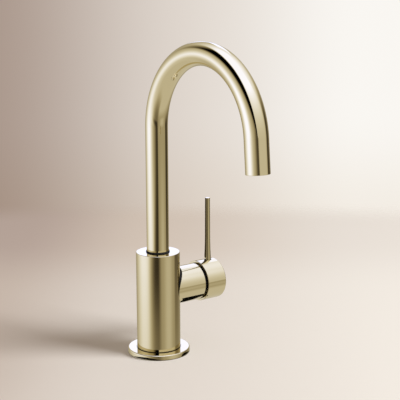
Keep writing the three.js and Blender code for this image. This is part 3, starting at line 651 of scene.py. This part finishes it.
def make_hub():
    rear_radius = math.sqrt(HUB_CAVITY_RADIUS ** 2 - (HUB_REAR - PIVOT) ** 2)
    floor_radius = math.sqrt(HUB_CAVITY_RADIUS ** 2 - (HUB_CAVITY_END - PIVOT) ** 2)
    corners = [(0.0, HUB_CAVITY_END, 0.0), (floor_radius, HUB_CAVITY_END, 0.0)]
    start = math.atan2(floor_radius, HUB_CAVITY_END - PIVOT)
    end = math.atan2(rear_radius, HUB_REAR - PIVOT)
    for a in spread(start, end, 10):
        corners.append((HUB_CAVITY_RADIUS * math.sin(a),
                        PIVOT + HUB_CAVITY_RADIUS * math.cos(a), 0.0))
    corners += [(rear_radius, HUB_REAR, 0.15), (HUB_RADIUS, HUB_REAR, 0.5),
                (HUB_RADIUS, HUB_END, 0.8), (0.0, HUB_END, 0.0)]
    made = piece("hub_turned", satin_gold, "handle", "pale_gold",
                 lathe(outline(corners, arc_steps=6), 160, VALVE_AXIS),
                 stands_for=["handle_hub"])
    carve_hub(made)


def carve_hub(hub):
    """Holes for the lever, the set screw and the stem's square end."""
    above, below = VALVE_HEIGHT + HUB_RADIUS + PAST, VALVE_HEIGHT - HUB_RADIUS - PAST
    seat = VALVE_HEIGHT + HUB_RADIUS - LEVER_SEAT_DEPTH
    tenon = VALVE_HEIGHT + LEVER_TENON_END - FIT_GAP
    seat_radius, tenon_radius = LEVER_FOOT_RADIUS + FIT_GAP, LEVER_TENON_RADIUS + FIT_GAP
    lever_hole = outline([
        (0.0, tenon, 0.0), (tenon_radius, tenon, 0.0), (tenon_radius, seat, 0.0),
        (seat_radius, seat, 0.2), (seat_radius, above, 0.0), (0.0, above, 0.0)])
    carve(hub, lathe(lever_hole, 48, LEVER_LINE))
    carve(hub, lathe(rod(SET_SCREW_RADIUS + FIT_GAP, below, VALVE_HEIGHT), 40, LEVER_LINE))
    half = STEM_SQUARE / 2 + FIT_GAP
    carve(hub, block((HUB_CAVITY_END - 1, -half, VALVE_HEIGHT - half),
                     (STEM_END + FIT_GAP, half, VALVE_HEIGHT + half)))


def make_hub_screw():
    """The set screw that holds the lever, and the plug that hides it."""
    low, high = (VALVE_HEIGHT + level for level in SET_SCREW)
    pitch, depth = SET_SCREW_THREAD
    grub = outline([(0.0, low, 0.0), (SET_SCREW_RADIUS, low, 0.25),
                    (SET_SCREW_RADIUS, high, 0.35), (0.0, high, 0.0)],
                   stations=thread_rows(low, high, pitch), wall=SET_SCREW_RADIUS)
    made = piece("hub_grub_screw", stainless, "handle", "steel",
                 lathe(grub, 36, LEVER_LINE,
                       shape=thread(SET_SCREW_RADIUS, low + 0.4, high - 0.4, pitch, depth)),
                 stands_for=["hub_set_screw"])
    key_radius, key_depth = SET_SCREW_KEY
    carve(made, lathe(rod(key_radius, low - 1.0, low + key_depth), 6, LEVER_LINE, faceted))
    low, high = (VALVE_HEIGHT + level for level in SCREW_PLUG)
    plug = outline([(0.0, low, 0.0), (SET_SCREW_RADIUS, low, 0.5),
                    (SET_SCREW_RADIUS, high, 0.3), (0.0, high, 0.0)])
    piece("hub_plug_turned", machined_brass, "handle", "cast_brass",
          lathe(plug, 40, LEVER_LINE), stands_for=["hub_screw_plug"])


def make_lever():
    seat = VALVE_HEIGHT + HUB_RADIUS - LEVER_SEAT_DEPTH
    tenon = VALVE_HEIGHT + LEVER_TENON_END
    waist = LEVER_TOP - LEVER_WAIST_DROP
    corners = [(0.0, tenon, 0.0), (LEVER_TENON_RADIUS, tenon, 0.3),
               (LEVER_TENON_RADIUS, seat, 0.1), (LEVER_FOOT_RADIUS, seat, 0.1)]
    steps, flare = 16, 1.6
    for k in range(1, steps):
        share = 1 - k / steps
        radius = LEVER_WAIST_RADIUS + (LEVER_FOOT_RADIUS - LEVER_WAIST_RADIUS) * share ** flare
        corners.append((radius, seat + (waist - seat) * k / steps, 0.0))
    corners += [(LEVER_WAIST_RADIUS, waist, 0.0), (LEVER_TIP_RADIUS, LEVER_TOP, 0.3),
                (0.0, LEVER_TOP, 0.0)]
    piece("lever_turned", polished_gold, "handle", "pale_gold",
          lathe(outline(corners), 64, LEVER_LINE), stands_for=["lever_rod"])


# -------------------- under the deck
def make_shank():
    """The threaded shank, with its flange and the thread that enters the waterway core."""
    corners = [
        (SHANK_BORE, SHANK_BOTTOM, 0.4), (SHANK_RADIUS, SHANK_BOTTOM, 0.8),
        (SHANK_RADIUS, BODY_BOTTOM, 0.1), (FLANGE_RADIUS, BODY_BOTTOM, 0.3),
        (FLANGE_RADIUS, FLANGE_TOP, 0.3), (SPIGOT_RADIUS, FLANGE_TOP, 0.1),
        (SPIGOT_RADIUS, SPIGOT_TOP, 0.5), (SHANK_BORE, SPIGOT_TOP, 0.3)]
    pitch, depth = SHANK_THREAD
    section = outline(corners, arc_steps=3, wall=SHANK_RADIUS,
                      stations=thread_rows(SHANK_BOTTOM, SHANK_THREAD_TOP, pitch))
    cut = thread(SHANK_RADIUS, SHANK_BOTTOM + 0.9, SHANK_THREAD_TOP, pitch, depth)
    piece("shank_threaded", machined_brass, "body", "cast_brass",
          lathe(section, 72, shape=cut), stands_for=["mounting_shank"])


def make_washers():
    """The rubber washer, with two grooves in its upper face, and the steel washer."""
    low, high = RUBBER_WASHER
    groove_radii, groove_depth = (25.4, 19.2), 0.25
    corners = [(PLATE_BORE, low, 0.4), (WASHER_RADIUS, low, 0.5), (WASHER_RADIUS, high, 0.5)]
    for edge in groove_radii:
        corners += [(edge, high, 0.1), (edge - 0.2, high - groove_depth, 0.1),
                    (edge - 0.8, high - groove_depth, 0.1), (edge - 1.0, high, 0.1)]
    corners.append((PLATE_BORE, high, 0.4))
    piece("rubber_washer_moulded", black_rubber, "body", "rubber",
          lathe(outline(corners, arc_steps=4), 120), stands_for=["deck_rubber_washer"])
    low, high = STEEL_WASHER
    section = outline([
        (PLATE_BORE, low, 0.15), (WASHER_RADIUS, low, 0.12), (WASHER_RADIUS, high, 0.6),
        (PLATE_BORE, high, 0.5)], arc_steps=5)
    piece("steel_washer_stamped", stainless, "body", "steel",
          lathe(section, 120), stands_for=["deck_steel_washer"])


def nut_screw_lines():
    """The three screws' middle lines, each with its place across the deck."""
    for turn in (0.0, math.tau / 3, 2 * math.tau / 3):
        x, y = NUT_SCREW_CIRCLE * math.cos(turn), NUT_SCREW_CIRCLE * math.sin(turn)
        yield x, y, straight((x, y, 0), (0, 0, 1), (1, 0, 0))


def make_nut():
    low, high = NUT
    pitch, depth = SHANK_THREAD
    cut = thread(PLATE_BORE, low + 0.3, high - 0.3, pitch, -depth)

    def scalloped(angle, r, h):
        wave = 0.5 - 0.5 * math.cos(NUT_SCALLOPS * angle)
        outwards = max(0.0, (r - SCALLOP_INNER) / (NUT_RADIUS - SCALLOP_INNER))
        return cut(angle, r, h) - SCALLOP_DEPTH * wave * outwards

    section = outline([
        (PLATE_BORE, low, 0.5), (NUT_RADIUS, low, 1.0), (NUT_RADIUS, high, 1.0),
        (PLATE_BORE, high, 0.5)], arc_steps=4, stations=thread_rows(low, high, pitch),
        wall=PLATE_BORE)
    made = piece("nut_scalloped", machined_brass, "body", "cast_brass",
                 lathe(section, 144, shape=scalloped), stands_for=["mounting_nut"])
    hole = rod(NUT_SCREW_RADIUS + FIT_GAP, low - 1, high + 1)
    for _, _, line in nut_screw_lines():
        carve(made, lathe(hole, 32, line, faceted))


def make_nut_screws():
    low, high = NUT_SCREW
    head = low - NUT_SCREW_HEAD
    pitch, depth = NUT_SCREW_THREAD
    section = outline([
        (0.0, head, 0.0), (NUT_SCREW_HEAD_RADIUS, head, 0.5), (NUT_SCREW_HEAD_RADIUS, low, 0.2),
        (NUT_SCREW_RADIUS, low, 0.1), (NUT_SCREW_RADIUS, high - 0.4, 0.1),
        (NUT_SCREW_RADIUS - 0.5, high, 0.1), (0.0, high, 0.0)], arc_steps=4,
        stations=thread_rows(low, high, pitch), wall=NUT_SCREW_RADIUS)
    cut = thread(NUT_SCREW_RADIUS, low + 0.6, high - 0.4, pitch, depth)
    half, slot_depth = NUT_SCREW_SLOT
    for number, (x, y, line) in enumerate(nut_screw_lines(), 1):
        made = piece(f"nut_screw_threaded_{number}", stainless, "body", "steel",
                     lathe(section, 32, line, cut), stands_for=[f"nut_screw_{number}"])
        carve(made, block((x - 6, y - half, head - 1), (x + 6, y + half, head + slot_depth)))


# -------------------- in the outlet
def make_insert():
    """The threaded ring in the tube's end."""
    inner, outer = INSERT_RADII
    low, high = INSERT
    pitch, depth = OUTLET_THREAD
    section = outline([(inner, low, 0.3), (outer, low, 0.3), (outer, high, 0.1),
                       (inner, high, 0.1)], stations=thread_rows(low + 1, high, pitch), wall=inner)
    cut = thread(inner, low + 1, high - 0.4, pitch, -depth)
    piece("insert_threaded", machined_brass, "spout", "cast_brass",
          lathe(section, 64, INTO_OUTLET, cut), stands_for=["outlet_insert"])


def make_aerator():
    """The aerator's threaded body, with two crossing notches for a key."""
    inner, outer = AERATOR_RADII
    low, high = AERATOR
    pitch, depth = OUTLET_THREAD
    section = outline([(inner, low, 0.4), (outer, low, 0.4), (outer, high, 0.2),
                       (inner, high, 0.2)], stations=thread_rows(low + 2, high, pitch), wall=outer)
    cut = thread(outer, low + 2, high - 0.3, pitch, depth)
    made = piece("aerator_moulded", white_acetal, "spout", "white_plastic",
                 lathe(section, 72, INTO_OUTLET, cut), stands_for=["aerator_body"])
    centre, along, across, side = INTO_OUTLET(low)
    half, notch_depth = AERATOR_NOTCH
    for direction, other in ((across, side), (side, across)):
        points = [centre + direction * (12 * i) + other * (half * j) + along * k
                  for i in (-1, 1) for j in (-1, 1) for k in (-1.0, notch_depth)]
        carve(made, (points, BOX_FACES, None))


def make_screen():
    """The aerator's screen, with six-sided cells."""
    low, high = SCREEN
    made = piece("screen_honeycomb", stainless, "spout", "steel",
                 lathe(rod(SCREEN_RADIUS, low, high, 0.15), 72, INTO_OUTLET),
                 stands_for=["aerator_screen"])
    _, along, across, side = INTO_OUTLET(low)
    cell = rod(CELL_RADIUS, low - 1, high + 1)
    corner = across * math.cos(math.pi / 6) + side * math.sin(math.pi / 6)
    cells = []
    for row in range(-5, 6):
        for column in range(-7, 8):
            u = CELL_PITCH * (column + row / 2)
            v = CELL_PITCH * row * math.sqrt(3) / 2
            if math.hypot(u, v) < SCREEN_RADIUS - SCREEN_RIM:
                middle = outlet_end + across * u + side * v
                cells.append(lathe(cell, 6, straight(middle, along, corner), faceted))
    carve(made, *cells)


make_base_plate()
make_column()
make_housing()
make_neck_shade()
make_seals()
make_spout()
make_hub()
make_hub_screw()
make_lever()
make_shank()
make_washers()
make_nut()
make_nut_screws()
make_insert()
make_aerator()
make_screen()

# -------------------- carried-over CAD nodes
slot_materials = {
    "pale_gold": polished_gold,
    "cast_brass": machined_brass,
    "steel": stainless,
    "rubber": black_rubber,
    "white_plastic": white_acetal,
    "grey_plastic": grey_filled,
    "ceramic": alumina,
}
slots = {part["node"]: part["material_slot"] for part in frame["record"]["subparts"]}
for name, node in frame["nodes"].items():
    node.data.materials.clear()
    node.data.materials.append(slot_materials[slots[name]])


# -------------------- camera
# Solved from the edges of the object in the photograph.
AZIMUTH = math.radians(37.218)
ELEVATION = math.radians(11.813)
CAMERA_ROLL = math.radians(-0.14)
CAMERA_DISTANCE = 1.05585
CAMERA_LENS = 95.94  # in millimetres, as the sensor
CAMERA_SENSOR = 36.0
VIEW_CENTRE = Vector((0.03365, -0.02556, 0.1565))
towards_camera = Vector((-math.sin(AZIMUTH) * math.cos(ELEVATION),
                         -math.cos(AZIMUTH) * math.cos(ELEVATION), math.sin(ELEVATION)))
camera_right = Vector((math.cos(AZIMUTH), -math.sin(AZIMUTH), 0.0))


def make_camera():
    up = towards_camera.cross(camera_right)
    right = camera_right * math.cos(CAMERA_ROLL) + up * math.sin(CAMERA_ROLL)
    up = towards_camera.cross(right)
    data = bpy.data.cameras.new("photo_camera")
    data.sensor_width = CAMERA_SENSOR
    data.lens = CAMERA_LENS
    data.clip_start = 0.05
    data.clip_end = 100.0
    camera = new_object("photo_camera", data)
    turn = Matrix((right, up, towards_camera)).transposed().to_4x4()
    stand = VIEW_CENTRE + towards_camera * CAMERA_DISTANCE
    camera.matrix_world = Matrix.Translation(stand) @ turn
    bpy.context.scene.camera = camera


make_camera()


# -------------------- studio
level_back = Vector((towards_camera.x, towards_camera.y, 0)).normalized()

# Colours of the backdrop, and of the floor near the object and behind it, each from the camera's
# left over the middle to its right. They paint shade: darker on the camera's left, away from the
# key, and the floor darker behind the object.
BACKDROP = ((0.40, 0.31, 0.26), (0.76, 0.695, 0.635), (0.95, 0.925, 0.885))
FLOOR_NEAR = ((0.66, 0.59, 0.54), (0.81, 0.78, 0.75), (0.895, 0.89, 0.865))
FLOOR_FAR = ((0.56, 0.48, 0.445), (0.735, 0.67, 0.61), (0.845, 0.83, 0.805))
# painted shade: the floor dimmed towards the key, which evens out the key's light on it
FLOOR_UNDER_KEY = (0.50, 0.485, 0.46)
# painted shade: the backdrop a little darker at the horizon
HORIZON_TINT = (0.94, 0.91, 0.87)
FILL = (1.0, 0.83, 0.68)
FILL_STRENGTH = 0.38

# Where the floor's colours change, in metres across the camera's view and away from it.
FLOOR_TO_MIDDLE = (-0.22, -0.03)
FLOOR_TO_RIGHT = (-0.03, 0.27)
FLOOR_TO_FAR = (0.20, 0.46)
FLOOR_TO_KEY = (0.36, 1.2)
FLOOR_FADE = (0.59, 0.74)
FLOOR_FADE_ACROSS = 0.55  # how much a step sideways counts in the fade
FLOOR_HALF = 3.0

KEY_AIM = Vector((0, 0, 0.05))
KEY_PLACE = camera_right * 3.50 + level_back * 0.88 + Vector((0, 0, 2.0))  # from its aim
KEY_SIZE = 2.4
KEY_POWER = 204.0

# Dark cards, in metres, seen only in reflections: they paint a dark reflection under the housing
# and beside the lever, and the contact shadow round the base plate's foot.
BLACK = (0.004, 0.004, 0.004)
DIM_GOLD = (0.055, 0.047, 0.034)
CARD_HEIGHT = 0.0004
HOUSING_CARD = (
    (0.056, -0.0235), (0.088, -0.0225), (0.088, -0.008), (0.080, 0.008),
    (0.079, 0.030), (0.076, 0.046), (0.066, 0.040), (0.056, 0.010))
# From and to, in degrees round the base plate from the camera's side, and the width.
FOOT_CARDS = {"foot_card_left": (-52, 6, 0.0055), "foot_card_right": (50, 82, 0.005)}
FOOT_CARD_GAP = 0.0006
LEVER_CARD_AWAY = 0.012
LEVER_CARD_HALF = 0.020
LEVER_CARD_ABOVE = 0.010


def hump(n, value, centre, half_width, softness):
    """1 within half_width of centre, and 0 beyond a soft edge."""
    distance = n.math("ABSOLUTE", n.minus(value, centre))
    return n.ramp(distance, half_width - softness / 2, half_width + softness / 2, 1.0, 0.0)


def shade(n, light, dark, depth):
    """The light, lowered by depth where dark is 1."""
    return n.times(light, n.minus(1.0, n.times(dark, depth)))


# In the functions below, alpha is the angle from the camera's side towards its right, and
# beta the height above the horizon, both in degrees.
def room_light(n, alpha, beta):
    """The studio's floor, which is lit on the right, and its walls up to the ceiling."""
    ground = n.ramp(beta, -38.0, -20.0, 0.66, 0.43)
    lit_patch = n.times(hump(n, alpha, 58.0, 19.0, 31.0),
                        n.times(n.ramp(beta, -26.0, -20.0), n.ramp(beta, -16.0, -7.0, 1.0, 0.0)))
    ground = n.plus(ground, n.times(lit_patch, 0.19))
    wall_right = n.ramp(beta, -5.0, 86.0, 0.68, 1.52)
    wall_right = shade(n, wall_right, n.ramp(alpha, 80.0, 98.0), 0.12)
    wall_left = n.ramp(beta, 14.0, 100.0, 0.45, 1.85)
    to_left = n.math("MAXIMUM", n.ramp(alpha, -50.0, -5.0, 1.0, 0.0),
                     n.ramp(alpha, 150.0, 179.0))
    wall = n.plus(n.times(wall_left, to_left), n.times(wall_right, n.minus(1.0, to_left)))
    above_floor = n.ramp(beta, -9.0, -3.0)
    return n.plus(n.times(ground, n.minus(1.0, above_floor)), n.times(wall, above_floor))


def left_light(n, alpha, beta):
    """A large soft light on the camera's left."""
    return n.times(n.times(hump(n, alpha, -77.0, 44.0, 78.0), hump(n, beta, -3.0, 18.0, 42.0)),
                   0.94)


def light_card(n, alpha, beta):
    """A bright card behind the object, and its lower end on the left."""
    card = n.times(n.ramp(n.plus(alpha, n.times(beta, 0.55)), 178.0, 184.0),
                   n.ramp(beta, 8.0, 11.5))
    card = n.times(card, n.ramp(beta, 44.0, 54.0, 1.0, 0.0))
    end = n.times(n.ramp(alpha, -172.0, -168.0, 1.0, 0.0), n.ramp(beta, 8.0, 12.0))
    end = n.times(end, n.ramp(beta, 20.0, 26.0, 1.0, 0.0))
    return n.times(n.math("MAXIMUM", card, end), 1.26)


def under_top_light(n, round_strip):
    """1 below the light overhead."""
    return n.ramp(round_strip, 61.5, 69.0, 1.0, 0.0)


def dark_strip(n, alpha, round_strip):
    """The dark strip between the left light and the light overhead."""
    strip = n.times(n.ramp(round_strip, 28.0, 42.0), under_top_light(n, round_strip))
    strip = n.times(strip, n.ramp(alpha, -152.0, -110.0))
    return n.times(strip, n.ramp(alpha, 12.0, 16.0, 1.0, 0.0))


def dark_camera_side(n, alpha, beta, above, high):
    """The dark room behind the camera: soft on its left, crisp on its right."""
    from_left = n.plus(alpha, n.math("MAXIMUM", n.minus(beta, 8.0), 0.0))
    right_side = n.ramp(
        n.math("DIVIDE", n.minus(alpha, n.plus(n.times(high, 2.0), 13.0)),
               n.plus(n.times(high, -7.0), 12.0)), -1.0, 1.0, 1.0, 0.0)
    left_side = n.ramp(
        n.math("DIVIDE", n.minus(from_left, n.plus(n.times(high, 23.5), -33.0)),
               n.plus(n.times(high, -9.0), 24.0)), -1.0, 1.0)
    return n.times(n.times(left_side, right_side), n.times(above, n.ramp(beta, -62.0, -30.0)))


def right_flag(n, alpha, beta):
    """A dark flag on the right: crisp towards the camera, fading away from it."""
    flag = n.times(n.ramp(alpha, 92.0, 106.0), n.ramp(alpha, 115.0, 172.0, 1.0, 0.0))
    return n.times(flag, n.times(n.ramp(beta, -26.0, -10.0), n.ramp(beta, 8.0, 40.0, 1.0, 0.0)))


def reflected_light(n, direction):
    """What reflections see of the studio: its brightness by direction."""
    upwards = n.along(direction, (0, 0, 1))
    alpha = n.math("DEGREES", n.math("ARCTAN2", n.along(direction, camera_right),
                                     n.along(direction, level_back)))
    beta = n.math("DEGREES", n.math("ARCSINE", upwards))
    strip_side = math.radians(78)
    strip_axis = level_back * math.cos(strip_side) - camera_right * math.sin(strip_side)
    round_strip = n.math("DEGREES", n.math("ARCTAN2", upwards, n.along(direction, strip_axis)))

    light = n.plus(room_light(n, alpha, beta), left_light(n, alpha, beta))
    light = n.math("MAXIMUM", light, light_card(n, alpha, beta))
    light = shade(n, light, dark_strip(n, alpha, round_strip), 1.0)

    high = n.ramp(beta, -16.0, -9.0)
    above = n.math("MAXIMUM", under_top_light(n, round_strip), n.ramp(beta, 0.0, 3.0, 1.0, 0.0))
    depth = n.plus(n.times(high, -0.06), n.ramp(beta, -20.0, -15.5, 0.55, 0.90))
    light = shade(n, light, dark_camera_side(n, alpha, beta, above, high), depth)
    fading = n.times(n.times(n.ramp(alpha, -80.0, -14.0), n.ramp(alpha, 0.0, 10.0, 1.0, 0.0)),
                     n.times(above, high))
    light = shade(n, light, fading, 0.42)
    light = shade(n, light, right_flag(n, alpha, beta), 0.88)
    return n.math("MINIMUM", light, 1.3)


def tone_of(n, light):
    """Bright parts of the studio are cool daylight, and dim ones are warm."""
    green = n.plus(n.times(light, 0.23), 0.80)
    blue = n.plus(n.times(n.times(light, light), 0.70), 0.55)
    return n.add("ShaderNodeCombineXYZ", {"X": 1.0, "Y": green, "Z": blue}).outputs[0]


def backdrop_colour(n, direction):
    """The plain backdrop that the camera sees, with painted shade: darker towards the camera's
    left, and a little darker at the horizon.
    """
    sideways = n.along(direction, camera_right)
    beta = n.math("DEGREES", n.math("ARCSINE", n.along(direction, (0, 0, 1))))
    left, middle, right = (colour(*tone) for tone in BACKDROP)
    backdrop = n.mix(n.ramp(sideways, -0.21, 0.02), left, middle)
    backdrop = n.mix(n.ramp(sideways, -0.02, 0.15), backdrop, right)
    tint = n.mix(n.ramp(beta, -13.0, -7.0), colour(*HORIZON_TINT), colour(1.0, 1.0, 1.0))
    return n.add("ShaderNodeMix", {"Factor": 1.0, "A": backdrop, "B": tint},
                 data_type="RGBA", blend_type="MULTIPLY").outputs["Result"]


def make_world():
    """Reflections see the studio, the camera a plain backdrop with painted shade, and dull
    surfaces a fill.
    """
    world = bpy.data.worlds.new("studio")
    bpy.context.scene.world = world
    world.use_nodes = True
    world.cycles.sampling_method = "NONE"
    n = Nodes(world.node_tree)
    direction = n.add("ShaderNodeTexCoord").outputs["Generated"]
    light = reflected_light(n, direction)
    reflected = n.add("ShaderNodeBackground", {"Color": tone_of(n, light), "Strength": light})
    fill = n.add("ShaderNodeBackground", {"Color": colour(*FILL), "Strength": FILL_STRENGTH})
    seen = n.add("ShaderNodeBackground", {"Color": backdrop_colour(n, direction),
                                          "Strength": 1.0})
    path = n.add("ShaderNodeLightPath")
    lit = n.add("ShaderNodeMixShader", {0: path.outputs["Is Diffuse Ray"],
                                        1: reflected.outputs[0], 2: fill.outputs[0]})
    whole = n.add("ShaderNodeMixShader", {0: path.outputs["Is Camera Ray"],
                                          1: lit.outputs[0], 2: seen.outputs[0]})
    n.add("ShaderNodeOutputWorld", {"Surface": whole.outputs[0]})


def flat_object(name, corners, material):
    """One flat face that belongs to the studio."""
    mesh = bpy.data.meshes.new(name)
    mesh.from_pydata(corners, [], [tuple(range(len(corners)))])
    mesh.materials.append(material)
    made = new_object(name, mesh)
    return made


def cleared(n, share, shader):
    """Ends a material with a shader that turns see-through by a share."""
    clear = n.add("ShaderNodeBsdfTransparent")
    mixed = n.add("ShaderNodeMixShader", {0: share, 1: shader.outputs[0], 2: clear.outputs[0]})
    n.add("ShaderNodeOutputMaterial", {"Surface": mixed.outputs[0]})


def make_floor():
    """A pale floor that fades into the backdrop at arm's length from the object. Its colours paint
    shade: darker on the camera's left and behind the object, and dimmed towards the key.
    """
    material, n = new_material("studio_floor")
    place = n.add("ShaderNodeNewGeometry").outputs["Position"]
    across, away = n.along(place, camera_right), n.along(place, -level_back)
    near, far = (n.mix(n.ramp(across, *FLOOR_TO_RIGHT),
                       n.mix(n.ramp(across, *FLOOR_TO_MIDDLE), colour(*left), colour(*middle)),
                       colour(*right)) for left, middle, right in (FLOOR_NEAR, FLOOR_FAR))
    tint = n.mix(n.ramp(away, *FLOOR_TO_FAR), near, far)
    # painted shade: the floor dimmed towards the key
    tint = n.mix(n.ramp(across, *FLOOR_TO_KEY), tint, colour(*FLOOR_UNDER_KEY))
    surface = n.add("ShaderNodeBsdfPrincipled", {
        "Base Color": tint, "Roughness": 0.9, "Specular IOR Level": 0.0})
    reach = n.math("SQRT", n.plus(n.math("POWER", n.times(across, FLOOR_FADE_ACROSS), 2.0),
                                  n.math("POWER", away, 2.0)))
    cleared(n, n.ramp(reach, *FLOOR_FADE), surface)
    half = FLOOR_HALF
    floor = flat_object("floor", [(-half, -half, 0), (half, -half, 0), (half, half, 0),
                                  (-half, half, 0)], material)
    floor.visible_glossy = False


def make_key_light():
    """A soft light on the camera's right, which lays the shadow to the left."""
    data = bpy.data.lights.new("key", "AREA")
    data.shape = "DISK"
    data.size = KEY_SIZE
    data.energy = KEY_POWER
    key = new_object("key", data)
    turn = KEY_PLACE.normalized().to_track_quat("Z", "Y").to_matrix().to_4x4()
    key.matrix_world = Matrix.Translation(KEY_AIM + KEY_PLACE) @ turn
    key.visible_glossy = False


def seen_flat(n):
    """1 where a card is seen at a slant, and 0 where it is seen squarely."""
    facing = n.add("ShaderNodeLayerWeight", {"Blend": 0.5}).outputs["Facing"]
    return n.ramp(facing, 0.50, 0.58)


def seen_from_behind(n):
    """1 on a card's back."""
    return n.add("ShaderNodeNewGeometry").outputs["Backfacing"]


def dark_card(name, corners, tone=BLACK, clear=None):
    """A dark card that is seen only by reflections, where it paints shade. clear tells from where
    it isn't.
    """
    material, n = new_material(name + "_dark")
    dark = n.add("ShaderNodeBsdfDiffuse", {"Color": colour(*tone)})
    cleared(n, clear(n) if clear else 0.0, dark)
    card = flat_object(name, corners, material)
    for ray in ("camera", "diffuse", "transmission", "shadow"):
        setattr(card, f"visible_{ray}", False)


def foot_shadow_card(name, start, end, width):
    """A crescent on the floor, close round the base plate: painted contact shadow, seen only in
    the plate's reflection.
    """
    reach = PLATE_RADIUS * MM + FOOT_CARD_GAP
    steps = 12
    inner, outer = [], []
    for k in range(steps + 1):
        a = math.radians(start + (end - start) * k / steps)
        out = level_back * math.cos(a) + camera_right * math.sin(a)
        swell = width * math.sin(math.pi * (k + 0.5) / (steps + 1))
        inner.append(out * reach)
        outer.append(out * (reach + swell))
    dark_card(name, [(p.x, p.y, CARD_HEIGHT) for p in inner + outer[::-1]])


def lever_reflection_card():
    """An upright card between the lever and the column, dark only towards the lever. It paints a
    dark reflection on the lever's left side.
    """
    beside = Vector((LEVER_AXIS * MM, 0, 0)) - camera_right * LEVER_CARD_AWAY
    near, far = beside + level_back * LEVER_CARD_HALF, beside - level_back * LEVER_CARD_HALF
    low = Vector((0, 0, (VALVE_HEIGHT + HUB_RADIUS) * MM))
    high = Vector((0, 0, LEVER_TOP * MM + LEVER_CARD_ABOVE))
    dark_card("lever_reflection_card", [near + low, far + low, far + high, near + high], DIM_GOLD,
              seen_from_behind)


def make_cards():
    """Cards on the floor that paint a dark reflection on the housing's underside and a contact
    shadow at the base plate's foot, and one beside the lever that paints a dark reflection on its
    left side."""
    dark_card("housing_reflection_card", [(x, y, CARD_HEIGHT) for x, y in HOUSING_CARD], clear=seen_flat)
    for name, (start, end, width) in FOOT_CARDS.items():
        foot_shadow_card(name, start, end, width)
    lever_reflection_card()


make_world()
make_floor()
make_key_light()
make_cards()
bpy.context.scene.view_settings.view_transform = "Standard"
